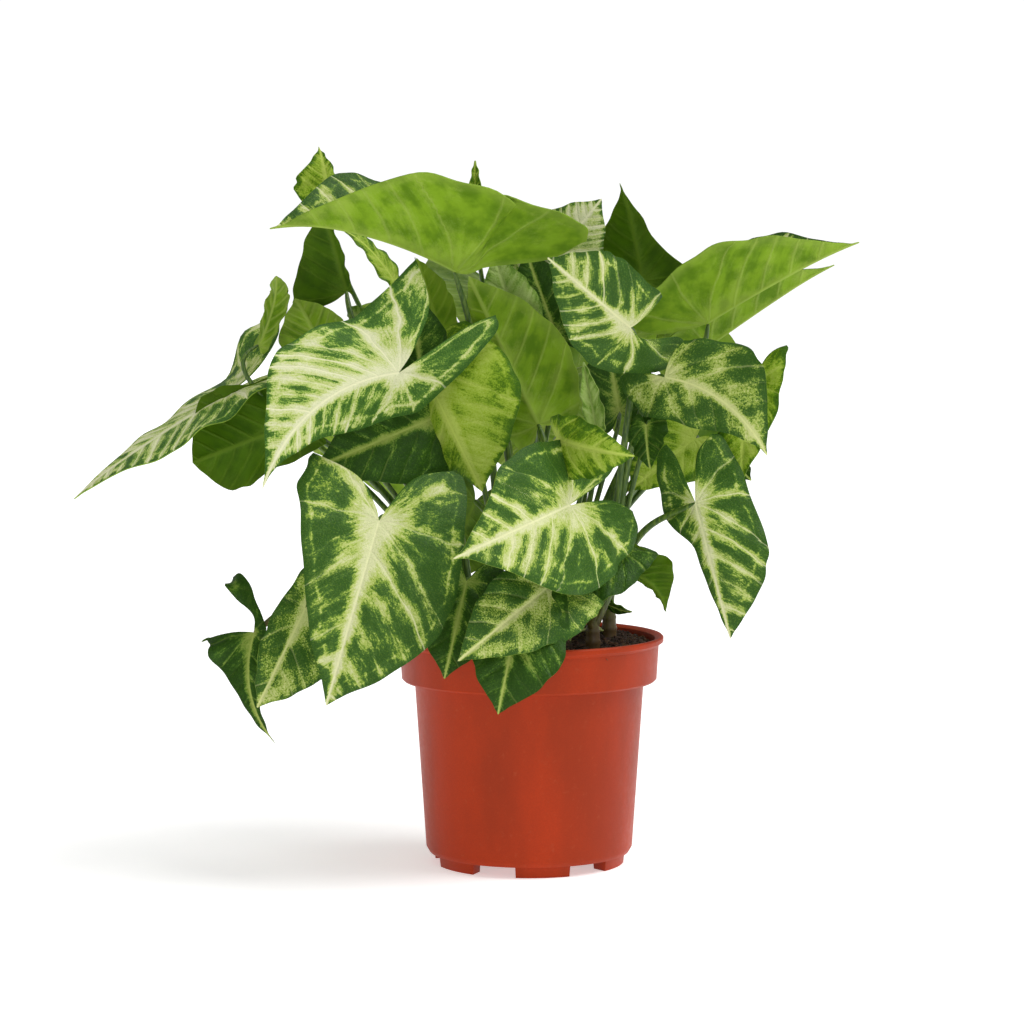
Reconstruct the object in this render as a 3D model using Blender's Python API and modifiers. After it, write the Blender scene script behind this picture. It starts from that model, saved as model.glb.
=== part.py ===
"""Arrowhead plant in a plain nursery pot. Metres, +Z up, origin on the floor under the middle of the plant.

The leaves are set out from a viewer who stands in front of the pot, in -Y. Their places are given in
millimetres across and up as that viewer sees them in the plane through the pot's axis, and in millimetres
of depth behind that plane.
"""

import math
from dataclasses import dataclass

import bmesh
import bpy
import numpy as np
from mathutils import Vector

MM = 0.001

# Pot, in millimetres
POT_HEIGHT = 102.0
POT_FOOT_HEIGHT = 5.0
POT_LIP_RADIUS = 60.0
POT_BAND_RADIUS = 57.0
POT_BAND_BOTTOM = 82.0
POT_BODY_TOP_RADIUS = 51.2
POT_BODY_BOTTOM_RADIUS = 46.2
POT_FOOT_RADIUS = 43.0
POT_FOOT_WIDTH = 8.0
POT_WALL = 1.4
POT_STEPS = 40
POT_FEET = 6
POT_FOOT_GAP_ARC = 27.0
POT_FOOT_TURN = 8.0
POT_LIP_DROP = 4.0
POT_BEAD = 0.9
POT_ROUNDING = 0.6
DRAIN_RADIUS = 4.0
DRAIN_RING_RADIUS = 24.0

# The foliage reaches further left and back than right and front, and the origin is under its middle
POT_X = 25.5
POT_Y = -8.0

# Soil, in millimetres
SOIL_EDGE_HEIGHT = 97.0
SOIL_MOUND = 6.0
SOIL_GAP = 0.3
SOIL_STEPS = 30
SOIL_RINGS = 4
STEM_RADIUS = 3.6
STEM_ABOVE_SOIL = 12.0
STEM_BELOW_SOIL = 9.0
SPROUT_X = 18.0
SPROUT_Y = -8.0
SPROUT_DEPTH = 4.0

# Viewer, in millimetres
VIEWER = Vector((-7.7, -1400.0, 268.0))

# Blades, in millimetres and degrees
BLADE_THICKNESS = 0.7
PETIOLE_RADIUS = 1.25
PETIOLE_BASE_SWELL = 1.5
SMALL_PETIOLE_SHARE = 0.75
# The share of a blade's rows that end on its midrib: the others end on the inner edge of its lobe
JUNCTION_ROW_SHARE = 0.6
# Leaves with more rows than this have a second column of faces on each half
SMALL_LEAF_ROWS = 5


@dataclass(frozen=True)
class Half:
    """One half of a blade, from its midrib to its margin.

    width: midrib to margin where it is widest. belly: where that is, as a share of the way to the tip.
    back, out: how far the lobe's point lies behind the junction and away from the midrib's line. An out
    below 0 takes it across the midrib. fold: degrees it is raised to the upper side. droop: degrees its
    margin turns down. lift: extra degrees of fold on the lobe. full: how far the margin between belly and
    tip stands out, where 1 is a plain curve. swell: how far the lobe's inner edge stands out to the other
    half.
    """

    width: float = 34.0
    belly: float = 0.14
    back: float = 24.0
    out: float = 24.0
    fold: float = 12.0
    droop: float = 18.0
    lift: float = 0.0
    full: float = 1.0
    swell: float = 0.0


@dataclass(frozen=True)
class Leaf:
    """A blade on its petiole.

    junction, tip: across, up and depth in millimetres. roll: degrees the blade is turned about its midrib
    from facing the viewer. right and left are as seen on the upper side with the tip pointing away.
    arch, curl: degrees the midrib bends down along its length and near its tip. twist: degrees the blade
    turns from junction to tip. bow: millimetres the midrib's middle stands out to the right. nape: degrees
    the lobes bend up. full_tip: how blunt the tip is, where 1 is plain. wave: height of the margin's
    ripples in millimetres, and waves: how many there are. via: points of the petiole between stem and
    junction. arrive: how far the petiole comes in from behind the junction, against from below it.
    rows: rows of faces from tip to lobe.
    """

    name: str
    plantlet: str
    junction: tuple
    tip: tuple
    roll: float = 0.0
    right: Half = Half()
    left: Half = Half()
    arch: float = 25.0
    curl: float = 10.0
    twist: float = 0.0
    bow: float = 0.0
    nape: float = 0.0
    full_tip: float = 1.0
    wave: float = 1.0
    waves: float = 1.5
    via: tuple = ()
    arrive: float = 0.7
    rows: int = 10


@dataclass(frozen=True)
class Plantlet:
    """A rooted cutting: where its stem stands on the soil, in millimetres."""

    name: str
    x: float
    y: float


PLANTLETS = (
    Plantlet("plantlet_front_left", -22, -20),
    Plantlet("plantlet_front", 6, -30),
    Plantlet("plantlet_front_right", 28, -16),
    Plantlet("plantlet_left", -36, 4),
    Plantlet("plantlet_middle_left", -12, 2),
    Plantlet("plantlet_middle_right", 12, 4),
    Plantlet("plantlet_right", 36, 8),
    Plantlet("plantlet_back_right", 22, 30),
    Plantlet("plantlet_back", -2, 34),
    Plantlet("plantlet_back_left", -26, 26),
)

LEAVES = (
    Leaf(
        "large_cream", "plantlet_left", (-58, 219, -48), (-119, 167, -78), 5, bow=11, nape=20, full_tip=0.5,
        right=Half(30, 0.3, 42, 34, 5, 10), left=Half(21, 0.1, 52, 8, -28, 10, lift=30), arch=28,
    ),
    Leaf(
        "hanging_front_left", "plantlet_front_left", (-67, 153, -66), (-91, 70, -88), 0,
        right=Half(37, -0.05, 24, 35, 5, 12, full=0.82), left=Half(40, 0.33, 34, 25, 5, 12), wave=1.6,
    ),
    Leaf(
        "front_middle", "plantlet_front", (18, 160, -62), (-34, 136, -106), 0,
        right=Half(30, 0.15, 54, 10, 8, 12), left=Half(37, 0.1, 46, 14, 8, 20), full_tip=0.6, wave=1.8, waves=2,
    ),
    Leaf(
        "front_yellow", "plantlet_front", (8, 123, -68), (-32, 90, -92), 0,
        right=Half(17, 0.3, 12, 10, 8, 12), left=Half(23, 0.1, 20, 20, 8, 12, full=0.9),
    ),
    Leaf(
        "front_under", "plantlet_front_right", (40, 140, -32), (10, 110, -52), 15,
        right=Half(14, 0.3, 12, 10), left=Half(16, 0.2, 12, 12), rows=5,
    ),
    Leaf(
        "front_low", "plantlet_front", (-4, 116, -70), (-14, 66, -84), 0,
        right=Half(18, 0.35, 12, 12), left=Half(23, 0.35, 12, 14),
    ),
    Leaf(
        "shadow_low", "plantlet_front_left", (-28, 126, -50), (-38, 82, -64), 0,
        right=Half(17, 0.3, 12, 12), left=Half(17, 0.3, 12, 12), rows=5,
    ),
    Leaf(
        "left_low", "plantlet_left", (-100, 114, -40), (-122, 69, -52), 0,
        right=Half(12, 0.3, 18, 6, 25), left=Half(22, 0.3, 12, 12), waves=2, via=((-64, 116, -18),),
    ),
    Leaf(
        "left_curled", "plantlet_left", (-123, 103, -30), (-114, 53, -36), 10, bow=6,
        right=Half(18, 0.15, 3, 26, 5, full=0.45), left=Half(6, 0.1, 31, -8, 5, swell=8),
        wave=2, waves=2.5, full_tip=0.5, via=((-62, 112, -10), (-104, 114, -24)),
    ),
    Leaf(
        "left_long", "plantlet_left", (-133, 211, -20), (-203, 163, -52), 74, arch=5, curl=5, full_tip=0.6, wave=1.8, waves=2.5,
        right=Half(30, 0.05, 50, 44, 0, 10, lift=35, full=0.75), left=Half(24, 0.35, 20, 16, 0, 12),
    ),
    Leaf(
        "left_small_upright", "plantlet_left", (-120, 231, -18), (-112, 262, -16), 125,
            right=Half(8, 0.7, 3, 3, 20), left=Half(8, 0.7, 3, 3, 20), full_tip=1.8, rows=5,
    ),
    Leaf(
        "left_round_under", "plantlet_left", (-106, 196, -28), (-150, 179, -34), 180,
        right=Half(16, 0.4, 12, 12, full=1.3), left=Half(24, 0.3, 12, 14, full=1.25), full_tip=1.7, rows=5,
    ),
    Leaf(
        "upright_left", "plantlet_left", (-81, 255, 6), (-92, 292, 0), 170,
        right=Half(25, 0.1, 4, 20, full=0.85), left=Half(3, 0.3, 2, 2, 20),
    ),
    Leaf(
        "behind_cream", "plantlet_back_left", (-92, 228, 6), (-104, 252, 0), 150,
        right=Half(20, 0.2, 10, 12), left=Half(16, 0.2, 10, 12), rows=5,
    ),
    Leaf(
        "top_left_curled", "plantlet_back_left", (-89, 298, 12), (-93, 319, 8), 20,
        right=Half(5, 0.3, 4, 3), left=Half(15, 0.3, 6, 8, 10), rows=5, wave=1.5, full_tip=0.5,
    ),
    Leaf(
        "top_large", "plantlet_middle_left", (-33, 264, -14), (-115, 283, -40), 80, nape=30, full_tip=0.4,
        right=Half(32, 0.5, 20, 16, 50, 10), left=Half(47, 0.12, 52, 24, 62, 4), arch=26,
    ),
    Leaf(
        "top_right_light", "plantlet_back_right", (79, 241, 6), (146, 277, -14), -90, arch=6, curl=4, full_tip=0.45,
        right=Half(34, 0.3, 30, 26, 58, 10, full=0.92), left=Half(32, 0.3, 26, 24, 50, 10),
    ),
    Leaf(
        "top_right_dark", "plantlet_back_right", (80, 231, 34), (135, 267, 18), -90, arch=4, curl=4, full_tip=0.45,
        right=Half(24, 0.3, 16, 16, 50, 10), left=Half(24, 0.3, 16, 16, 45, 10), rows=5,
    ),
    Leaf(
        "top_curl", "plantlet_back_right", (50, 260, 40), (40, 303, 32), 160,
        right=Half(17, 0.3, 12, 12), left=Half(26, -0.05, 8, 22, full=0.5), full_tip=0.3, rows=5,
    ),
    Leaf(
        "top_behind", "plantlet_back", (4, 262, 34), (32, 296, 30), 0,
        right=Half(20, 0.3, 12, 12), left=Half(18, 0.3, 12, 12), rows=5,
    ),
    Leaf(
        "butterfly", "plantlet_right", (45, 239, -46), (8, 270, -62), 0,
        right=Half(20, 0.5, 2, 19), left=Half(23, 0.1, 34, -10, 5, 10, swell=7),
    ),
    Leaf(
        "right_dark", "plantlet_right", (60, 217, -36), (106, 182, -54), 0, bow=-7,
        right=Half(20, 0.05, 22, 12, -10), left=Half(25, 0.4, 3, 14), curl=25, full_tip=0.7, wave=1.8,
    ),
    Leaf(
        "right_hanging", "plantlet_front_right", (74, 161, -26), (90, 100, -40), 0,
        right=Half(17, 0.0, 33, 6, -25, full=0.42, lift=20), left=Half(26, 0.38, 32, 15, 5),
        via=((49, 146, -14),),
    ),
    Leaf(
        "right_small_under", "plantlet_front_right", (43, 130, -30), (61, 112, -36), 180, bow=4,
        right=Half(14, 0.3, 8, 10), left=Half(2, 0.3, 2, 2, 40), via=((28, 110, -22),), full_tip=0.6, rows=5,
    ),
    Leaf(
        "grey_tip", "plantlet_front_right", (27, 121, 0), (46, 112, -4), 60,
        right=Half(6, 0.3, 3, 3), left=Half(6, 0.3, 3, 3), rows=5,
    ),
    Leaf(
        "right_pale", "plantlet_back_right", (98, 212, -6), (95, 171, -10), 20,
        right=Half(14, 0.2, 14, 10), left=Half(15, 0.0, 22, 13), rows=5,
    ),
    Leaf(
        "right_tip", "plantlet_back_right", (84, 186, 14), (99, 171, 8), 0,
        right=Half(8, 0.3, 5, 5), left=Half(8, 0.3, 5, 5), rows=5,
    ),
    Leaf(
        "right_bright", "plantlet_back_right", (74, 190, 14), (44, 166, 6), 0,
        right=Half(20, 0.2, 14, 12), left=Half(14, 0.1, 14, 12), rows=5,
    ),
    Leaf(
        "front_curl", "plantlet_front", (12, 190, -46), (47, 182, -66), 10,
        right=Half(15, 0.3, 6, 6), left=Half(12, 0.3, 6, 6), arch=60, rows=5,
    ),
    Leaf(
        "right_folded", "plantlet_right", (52, 196, -24), (54, 176, -30), 20,
        right=Half(8, 0.2, 6, 3), left=Half(10, 0.1, 4, 11), rows=5,
    ),
    Leaf(
        "olive_under", "plantlet_middle_right", (4, 196, 0), (-27, 262, -14), 180,
        right=Half(17, 0.3, 8, 10), left=Half(27, 0.3, 4, 13), arch=20,
    ),
    Leaf(
        "yellow_under", "plantlet_left", (-46, 218, -20), (-21, 166, -34), 0,
        right=Half(22, 0.2, 12, 12, -35), left=Half(36, 0.3, 16, 20),
    ),
    Leaf(
        "speckled_under", "plantlet_left", (-40, 200, -20), (-97, 176, -44), 0,
        right=Half(20, 0.2, 14, 12), left=Half(25, 0.15, 18, 18),
    ),
    Leaf(
        "dark_between", "plantlet_left", (-48, 216, -16), (-52, 256, -20), 0,
        right=Half(14, 0.3, 10, 10), left=Half(12, 0.3, 8, 8), rows=5,
    ),
    Leaf(
        "light_between", "plantlet_middle_left", (-40, 238, 0), (-50, 270, -4), 180,
        right=Half(10, 0.3, 8, 6), left=Half(10, 0.3, 8, 6), rows=5,
    ),
    Leaf(
        "pale_middle", "plantlet_middle_right", (-4, 236, 12), (-16, 272, 6), 0,
        right=Half(13, 0.3, 10, 10), left=Half(13, 0.3, 10, 10), rows=5,
    ),
    Leaf(
        "blue_middle", "plantlet_back", (12, 236, 26), (-2, 274, 20), 0,
        right=Half(15, 0.3, 12, 12), left=Half(15, 0.3, 12, 12), rows=5,
    ),
    Leaf(
        "light_strip", "plantlet_back_left", (-60, 260, 20), (-82, 282, 14), 60,
        right=Half(8, 0.3, 5, 5), left=Half(8, 0.3, 5, 5), rows=5,
    ),
    Leaf(
        "pale_bit", "plantlet_back_left", (-70, 238, 20), (-81, 249, 16), 0,
        right=Half(6, 0.3, 3, 3), left=Half(6, 0.3, 3, 3), rows=5,
    ),
    Leaf(
        "spear", "plantlet_back", (-24, 286, 20), (-24, 313, 16), 0,
        right=Half(4, 0.3, 2, 2, 45), left=Half(4, 0.3, 2, 2, 45), rows=5,
    ),
    Leaf(
        "rolled_young", "plantlet_middle_right", (30, 194, -10), (24, 224, -12), 0,
        right=Half(6, 0.3, 3, 2, 50), left=Half(6, 0.3, 3, 2, 50), rows=5,
    ),
    Leaf(
        "dark_middle", "plantlet_back_right", (40, 202, 18), (34, 236, 12), 0,
        right=Half(15, 0.3, 12, 12), left=Half(15, 0.3, 12, 12), rows=5,
    ),
    Leaf(
        "back_high_left", "plantlet_back_left", (-50, 226, 66), (-88, 200, 112), 170,
    ),
    Leaf("back_high", "plantlet_back", (-16, 256, 62), (-26, 232, 122), 180),
    Leaf("back_high_right", "plantlet_back_right", (30, 246, 70), (62, 222, 120), 190),
    Leaf("back_right", "plantlet_back_right", (62, 214, 64), (104, 198, 96), 190),
    Leaf(
        "back_low_right", "plantlet_back_right", (66, 192, 50), (96, 174, 84), 180,
        right=Half(22), left=Half(22),
    ),
    Leaf("back_low_left", "plantlet_back_left", (-62, 190, 60), (-96, 184, 104), 165),
    Leaf("back_middle", "plantlet_back", (4, 206, 80), (10, 160, 122), 180),
    Leaf("back_low", "plantlet_back", (-24, 162, 78), (-40, 122, 104), 175, right=Half(28), left=Half(28)),
)


def seen(across, up, depth):
    """The point at this depth that the viewer sees at this place in the plane through the pot's axis."""
    aim = Vector((across, 0.0, up))
    reach = (depth - VIEWER.y) / -VIEWER.y
    return VIEWER + (aim - VIEWER) * reach


def smooth(value):
    """A soft step from 0 to 1."""
    value = np.clip(value, 0.0, 1.0)
    return value * value * (3.0 - 2.0 * value)


def curve_through(points, at):
    """Points of a curve through the given ones, with at running from 0 to 1 along them."""
    points = np.asarray(points, float)
    padded = np.vstack([2 * points[0] - points[1], points, 2 * points[-1] - points[-2]])
    place = np.clip(np.asarray(at, float), 0.0, 1.0) * (len(points) - 1)
    index = np.minimum(place.astype(int), len(points) - 2)
    t = (place - index)[:, None]
    before, start, end, after = (padded[index + k] for k in range(4))
    return 0.5 * (
        2 * start
        + (end - before) * t
        + (2 * before - 5 * start + 4 * end - after) * t**2
        + (3 * start - before - 3 * end + after) * t**3
    )


def margin_points(half, length, tip):
    """Control points of the outer margin from tip to lobe, as away from and along the midrib."""
    belly = half.belly * length
    front = length - belly
    fuller = half.full * half.width
    return (
        (0.0, length),
        (0.17 * tip * fuller, length - 0.12 * front),
        (0.56 * (0.5 + 0.5 * tip) * fuller, length - 0.36 * front),
        (0.89 * fuller, length - 0.68 * front),
        (half.width, belly),
        (0.80 * half.width + 0.20 * half.out, 0.50 * belly - 0.50 * half.back),
        (0.42 * half.width + 0.58 * half.out, 0.06 * belly - 0.92 * half.back),
        (half.out, -half.back),
    )


def inner_points(half):
    """Control points of the lobe's inner edge, from the junction to the lobe's point."""
    return (
        (0.0, 0.0),
        (0.08 * half.out + 0.8, -0.28 * half.back),
        (0.38 * half.out + 0.8 - half.swell, -0.74 * half.back),
        (half.out, -half.back),
    )


def half_grid(half, length, rows, columns, tip=1.0):
    """Places over one half, away from and along the midrib: rows from tip to lobe, columns outwards."""
    share = np.linspace(0.0, 1.0, rows + 1)
    outer = curve_through(margin_points(half, length, tip), share)
    on_midrib = share <= JUNCTION_ROW_SHARE + 1e-9
    inner = curve_through(inner_points(half), (share - JUNCTION_ROW_SHARE) / (1.0 - JUNCTION_ROW_SHARE))
    inner[on_midrib, 0] = 0.0
    inner[on_midrib, 1] = length * (1.0 - share[on_midrib] / JUNCTION_ROW_SHARE)
    across = np.linspace(0.0, 1.0, columns + 1)[None, :, None]
    return inner[:, None, :] * (1.0 - across) + outer[:, None, :] * across


class BladeForm:
    """Carries places on a flat blade to the bent blade in space, in millimetres."""

    SAMPLES = 65

    def __init__(self, leaf):
        self.leaf = leaf
        self.start = np.array(seen(*leaf.junction))
        self.end = np.array(seen(*leaf.tip))
        chord = self.end - self.start
        self.along = chord / np.linalg.norm(chord)
        facing = np.array(VIEWER) - self.start
        facing = facing - self.along * (facing @ self.along)
        facing = facing / np.linalg.norm(facing)
        turn = math.radians(leaf.roll)
        self.up = facing * math.cos(turn) + np.cross(self.along, facing) * math.sin(turn)
        self.side = np.cross(self.along, self.up)
        share = np.linspace(0.0, 1.0, self.SAMPLES)
        angle = self.bend(share)
        steps = np.stack([np.cos(angle), np.sin(angle)], axis=1)
        path = np.vstack([[0.0, 0.0], np.cumsum((steps[1:] + steps[:-1]) / 2, axis=0)])
        path = path / (self.SAMPLES - 1)
        reach = np.linalg.norm(path[-1])
        self.tilt = math.atan2(path[-1, 1], path[-1, 0])
        self.length = np.linalg.norm(chord) / reach
        self.share = share
        cosine, sine = math.cos(self.tilt), math.sin(self.tilt)
        self.path = path @ np.array([[cosine, -sine], [sine, cosine]]) * self.length

    def bend(self, share):
        """The midrib's angle below its start, in radians, at a share of its length."""
        arch = math.radians(self.leaf.arch) * share
        curl = math.radians(self.leaf.curl) * smooth((share - 0.6) / 0.4)
        return -(arch + curl)

    def place(self, away, along, side, half):
        """World places, in millimetres, of points away from and along the midrib on one side of it."""
        leaf = self.leaf
        share = along / self.length
        inside = np.clip(share, 0.0, 1.0)
        forward = np.interp(inside, self.share, self.path[:, 0])
        height = np.interp(inside, self.share, self.path[:, 1])
        behind = np.minimum(along, 0.0)
        nape = math.radians(leaf.nape) * smooth(-share / 0.15)
        angle = self.bend(np.clip(share, -0.5, 1.0)) - self.tilt - nape
        back_angle = self.bend(np.clip(share, -0.5, 0.0) / 2) - self.tilt - nape
        forward = forward + behind * np.cos(back_angle)
        height = height + behind * np.sin(back_angle)
        reach = away / half.width
        lobe = smooth(-along / max(half.back, 1.0))
        fold = math.radians(half.fold) + math.radians(half.lift) * lobe
        fold = fold - math.radians(half.droop) * reach / 2
        lateral = away * np.cos(fold)
        raised = away * np.sin(fold)
        phase = 0.0 if side > 0 else 0.37
        ripple = np.sin(2 * math.pi * (leaf.waves * share + phase))
        raised = raised + leaf.wave * reach**2 * ripple * smooth((1.0 - share) / 0.3)
        turn = math.radians(leaf.twist) * share
        sideways = side * lateral + leaf.bow * 4 * inside * (1.0 - inside)
        sideways, raised = (
            sideways * np.cos(turn) - raised * np.sin(turn),
            sideways * np.sin(turn) + raised * np.cos(turn),
        )
        forward = forward - raised * np.sin(angle)
        height = height + raised * np.cos(angle)
        return (
            self.start
            + forward[..., None] * self.along
            + height[..., None] * self.up
            + sideways[..., None] * self.side
        )


def soil_height(x, y):
    """Height of the soil's surface, in millimetres: level at the edge, mounded at the back and lumpy."""
    out = math.hypot(x, y) / POT_BODY_TOP_RADIUS
    mound = max(0.0, 1.0 - ((x - 16) ** 2 + (y - 18) ** 2) / 44**2)
    lumps = 0.7 * math.sin(0.31 * x + 0.9) * math.cos(0.27 * y) + 0.5 * math.sin(0.17 * x - 0.43 * y)
    return SOIL_EDGE_HEIGHT + SOIL_MOUND * mound**1.5 + lumps * min(1.0, 2.0 * max(0.0, 1.0 - out))


def bezier(start, lead, follow, end, count):
    """Points of a cubic curve."""
    points = []
    for step in range(count + 1):
        t = step / count
        u = 1.0 - t
        points.append(start * u**3 + lead * 3 * u * u * t + follow * 3 * u * t * t + end * t**3)
    return points


def petiole_path(leaf, form):
    """Points of a petiole from inside its stem to the underside of its blade, in millimetres."""
    home = next(p for p in PLANTLETS if p.name == leaf.plantlet)
    top = soil_height(home.x, home.y) + STEM_ABOVE_SOIL
    end = form.start - form.up * BLADE_THICKNESS
    start = np.array([home.x, home.y, top - 4.0])
    arrival = -form.up - form.along * leaf.arrive
    arrival = arrival / np.linalg.norm(arrival)
    if leaf.via:
        stops = [start] + [np.array(seen(*point)) for point in leaf.via] + [end]
        return list(curve_through(stops, np.linspace(0.0, 1.0, 9)))
    reach = np.linalg.norm(end - start)
    outward = end - start
    lead = start + np.array([0.12 * outward[0], 0.12 * outward[1], 0.45 * reach])
    follow = end + arrival * 0.28 * reach
    return bezier(start, lead, follow, end, 5)


def in_collection(name):
    """The scene's collection of this name, made on first use."""
    found = bpy.data.collections.get(name)
    if found is None:
        found = bpy.data.collections.new(name)
        bpy.context.scene.collection.children.link(found)
    return found


def standing_place():
    """The empty on the floor under the pot that carries every object."""
    found = bpy.data.objects.get("standing_place")
    if found is None:
        found = bpy.data.objects.new("standing_place", None)
        found.location = (POT_X * MM, POT_Y * MM, 0.0)
        in_collection("Plant").objects.link(found)
    return found


def add_object(name, data, collection):
    """A new object, carried by the empty under the pot, in the collection of this name."""
    made = bpy.data.objects.new(name, data)
    made.parent = standing_place()
    in_collection(collection).objects.link(made)
    return made


def material(name, colour, roughness):
    """A Principled material of one colour."""
    made = bpy.data.materials.get(name)
    if made is None:
        made = bpy.data.materials.new(name)
        made.use_nodes = True
        shader = made.node_tree.nodes["Principled BSDF"]
        shader.inputs["Base Color"].default_value = (*colour, 1.0)
        shader.inputs["Roughness"].default_value = roughness
        shader.inputs["Metallic"].default_value = 0.0
    return made


def applied(obj):
    """Replaces an object's mesh by its evaluated one and clears its modifiers."""
    graph = bpy.context.evaluated_depsgraph_get()
    mesh = bpy.data.meshes.new_from_object(obj.evaluated_get(graph))
    obj.modifiers.clear()
    obj.data = mesh
    return obj


def blade_object(leaf, form):
    """A blade as a closed thin shell: an open surface, triangulated and thickened."""
    columns = 2 if leaf.rows > SMALL_LEAF_ROWS else 1
    bm = bmesh.new()
    for side, half in ((1, leaf.right), (-1, leaf.left)):
        flat = half_grid(half, form.length, leaf.rows, columns, leaf.full_tip)
        places = form.place(flat[..., 0], flat[..., 1], side, half) * MM
        grid = [[bm.verts.new(place) for place in row] for row in places]
        for near, far in zip(grid[:-1], grid[1:]):
            for column in range(columns):
                corners = [near[column], near[column + 1], far[column + 1], far[column]]
                bm.faces.new(corners if side < 0 else corners[::-1])
    bmesh.ops.remove_doubles(bm, verts=bm.verts, dist=0.02 * MM)
    bmesh.ops.triangulate(bm, faces=bm.faces, quad_method="FIXED")
    mesh = bpy.data.meshes.new(leaf.name)
    bm.to_mesh(mesh)
    bm.free()
    blade = add_object(leaf.name, mesh, "Growing")
    shell = blade.modifiers.new("Thickness", "SOLIDIFY")
    shell.thickness = BLADE_THICKNESS * MM
    shell.offset = -1.0
    return applied(blade)


def tube_object(name, points, radii, sides_level, collection):
    """A curve with round section through the points, made a closed mesh."""
    curve = bpy.data.curves.new(name, "CURVE")
    curve.dimensions = "3D"
    curve.bevel_depth = MM
    curve.bevel_resolution = sides_level
    curve.use_fill_caps = True
    spline = curve.splines.new("POLY")
    spline.points.add(len(points) - 1)
    for point, place, radius in zip(spline.points, points, radii):
        point.co = (*(np.array(place) * MM), 1.0)
        point.radius = radius
    guide = add_object(name + "_guide", curve, "Cutters")
    graph = bpy.context.evaluated_depsgraph_get()
    mesh = bpy.data.meshes.new_from_object(guide.evaluated_get(graph))
    bpy.data.objects.remove(guide)
    bm = bmesh.new()
    bm.from_mesh(mesh)
    bmesh.ops.remove_doubles(bm, verts=bm.verts, dist=0.01 * MM)
    bmesh.ops.recalc_face_normals(bm, faces=bm.faces)
    bm.to_mesh(mesh)
    bm.free()
    return add_object(name, mesh, collection)


def stem_points(home, below, above):
    """The line of a stem, from a depth below the soil's surface to a height above it."""
    surface = soil_height(home.x, home.y)
    return [(home.x, home.y, surface + rise) for rise in (-below, 2, above)]


def plantlet_object(home):
    """A leafy stem: one body of stem, petioles and blades."""
    radii = (STEM_RADIUS, STEM_RADIUS, STEM_RADIUS - 1.2)
    stem = tube_object(home.name, stem_points(home, STEM_BELOW_SOIL, STEM_ABOVE_SOIL), radii, 1, "Plant")
    growing = in_collection("Growing")
    members = []
    for leaf in LEAVES:
        if leaf.plantlet != home.name:
            continue
        form = BladeForm(leaf)
        path = petiole_path(leaf, form)
        share = 1.0 if leaf.rows > SMALL_LEAF_ROWS else SMALL_PETIOLE_SHARE
        thickness = np.linspace(PETIOLE_BASE_SWELL, 1.0, len(path)) * PETIOLE_RADIUS * share
        members.append(tube_object(leaf.name + "_petiole", path, thickness, 0, "Growing"))
        members.append(blade_object(leaf, form))
    union = stem.modifiers.new("Grown together", "BOOLEAN")
    union.operation = "UNION"
    union.operand_type = "COLLECTION"
    union.collection = growing
    union.solver = "MANIFOLD"
    bpy.context.view_layer.update()
    applied(stem)
    for member in members:
        bpy.data.objects.remove(member)
    bpy.data.collections.remove(growing)
    stem.data.materials.clear()
    stem.data.materials.append(material("leaf_green", (0.06, 0.17, 0.035), 0.38))
    return stem


def turned(name, profile, collection, steps=POT_STEPS):
    """A body turned about the Z axis from a closed profile of radius and height, in millimetres."""
    mesh = bpy.data.meshes.new(name)
    points = [(radius * MM, 0.0, height * MM) for radius, height in profile]
    closed = profile[0][0] > 0.0
    edges = [(i, i + 1) for i in range(len(points) - 1)]
    if closed:
        edges.append((len(points) - 1, 0))
    mesh.from_pydata(points, edges, [])
    body = add_object(name, mesh, collection)
    screw = body.modifiers.new("Turn", "SCREW")
    screw.steps = steps
    screw.render_steps = steps
    screw.use_merge_vertices = True
    screw.merge_threshold = 0.00001
    return body


def pot_profile():
    """Radius and height along the pot's outer side from lip to foot, then back up the inside."""
    lip = POT_LIP_RADIUS
    band = POT_BAND_RADIUS
    bottom = POT_BODY_BOTTOM_RADIUS
    foot = POT_FOOT_RADIUS
    floor = POT_FOOT_HEIGHT + POT_WALL
    return (
        (lip, POT_HEIGHT - POT_ROUNDING),
        (lip, POT_HEIGHT - 4 * POT_ROUNDING),
        (band + POT_BEAD, POT_HEIGHT - POT_LIP_DROP),
        (band, POT_BAND_BOTTOM + POT_BEAD),
        (band - POT_BEAD, POT_BAND_BOTTOM),
        (POT_BODY_TOP_RADIUS, POT_BAND_BOTTOM - POT_ROUNDING),
        (bottom, POT_FOOT_HEIGHT + 4 * POT_ROUNDING),
        (bottom - POT_WALL, POT_FOOT_HEIGHT),
        (foot, POT_FOOT_HEIGHT),
        (foot - POT_ROUNDING, 0.0),
        (foot - POT_FOOT_WIDTH, 0.0),
        (foot - POT_FOOT_WIDTH - POT_ROUNDING, POT_FOOT_HEIGHT),
        (0.0, POT_FOOT_HEIGHT),
        (0.0, floor),
        (bottom - 2 * POT_WALL, floor),
        (bottom - POT_WALL, floor + 2.6),
        (POT_BODY_TOP_RADIUS - POT_WALL, POT_BAND_BOTTOM),
        (band - POT_WALL, POT_BAND_BOTTOM + 3.0),
        (band - POT_WALL + POT_ROUNDING, POT_HEIGHT - 2 * POT_ROUNDING),
        (lip - POT_ROUNDING - 1.0, POT_HEIGHT),
        (lip - POT_ROUNDING, POT_HEIGHT),
    )


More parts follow.
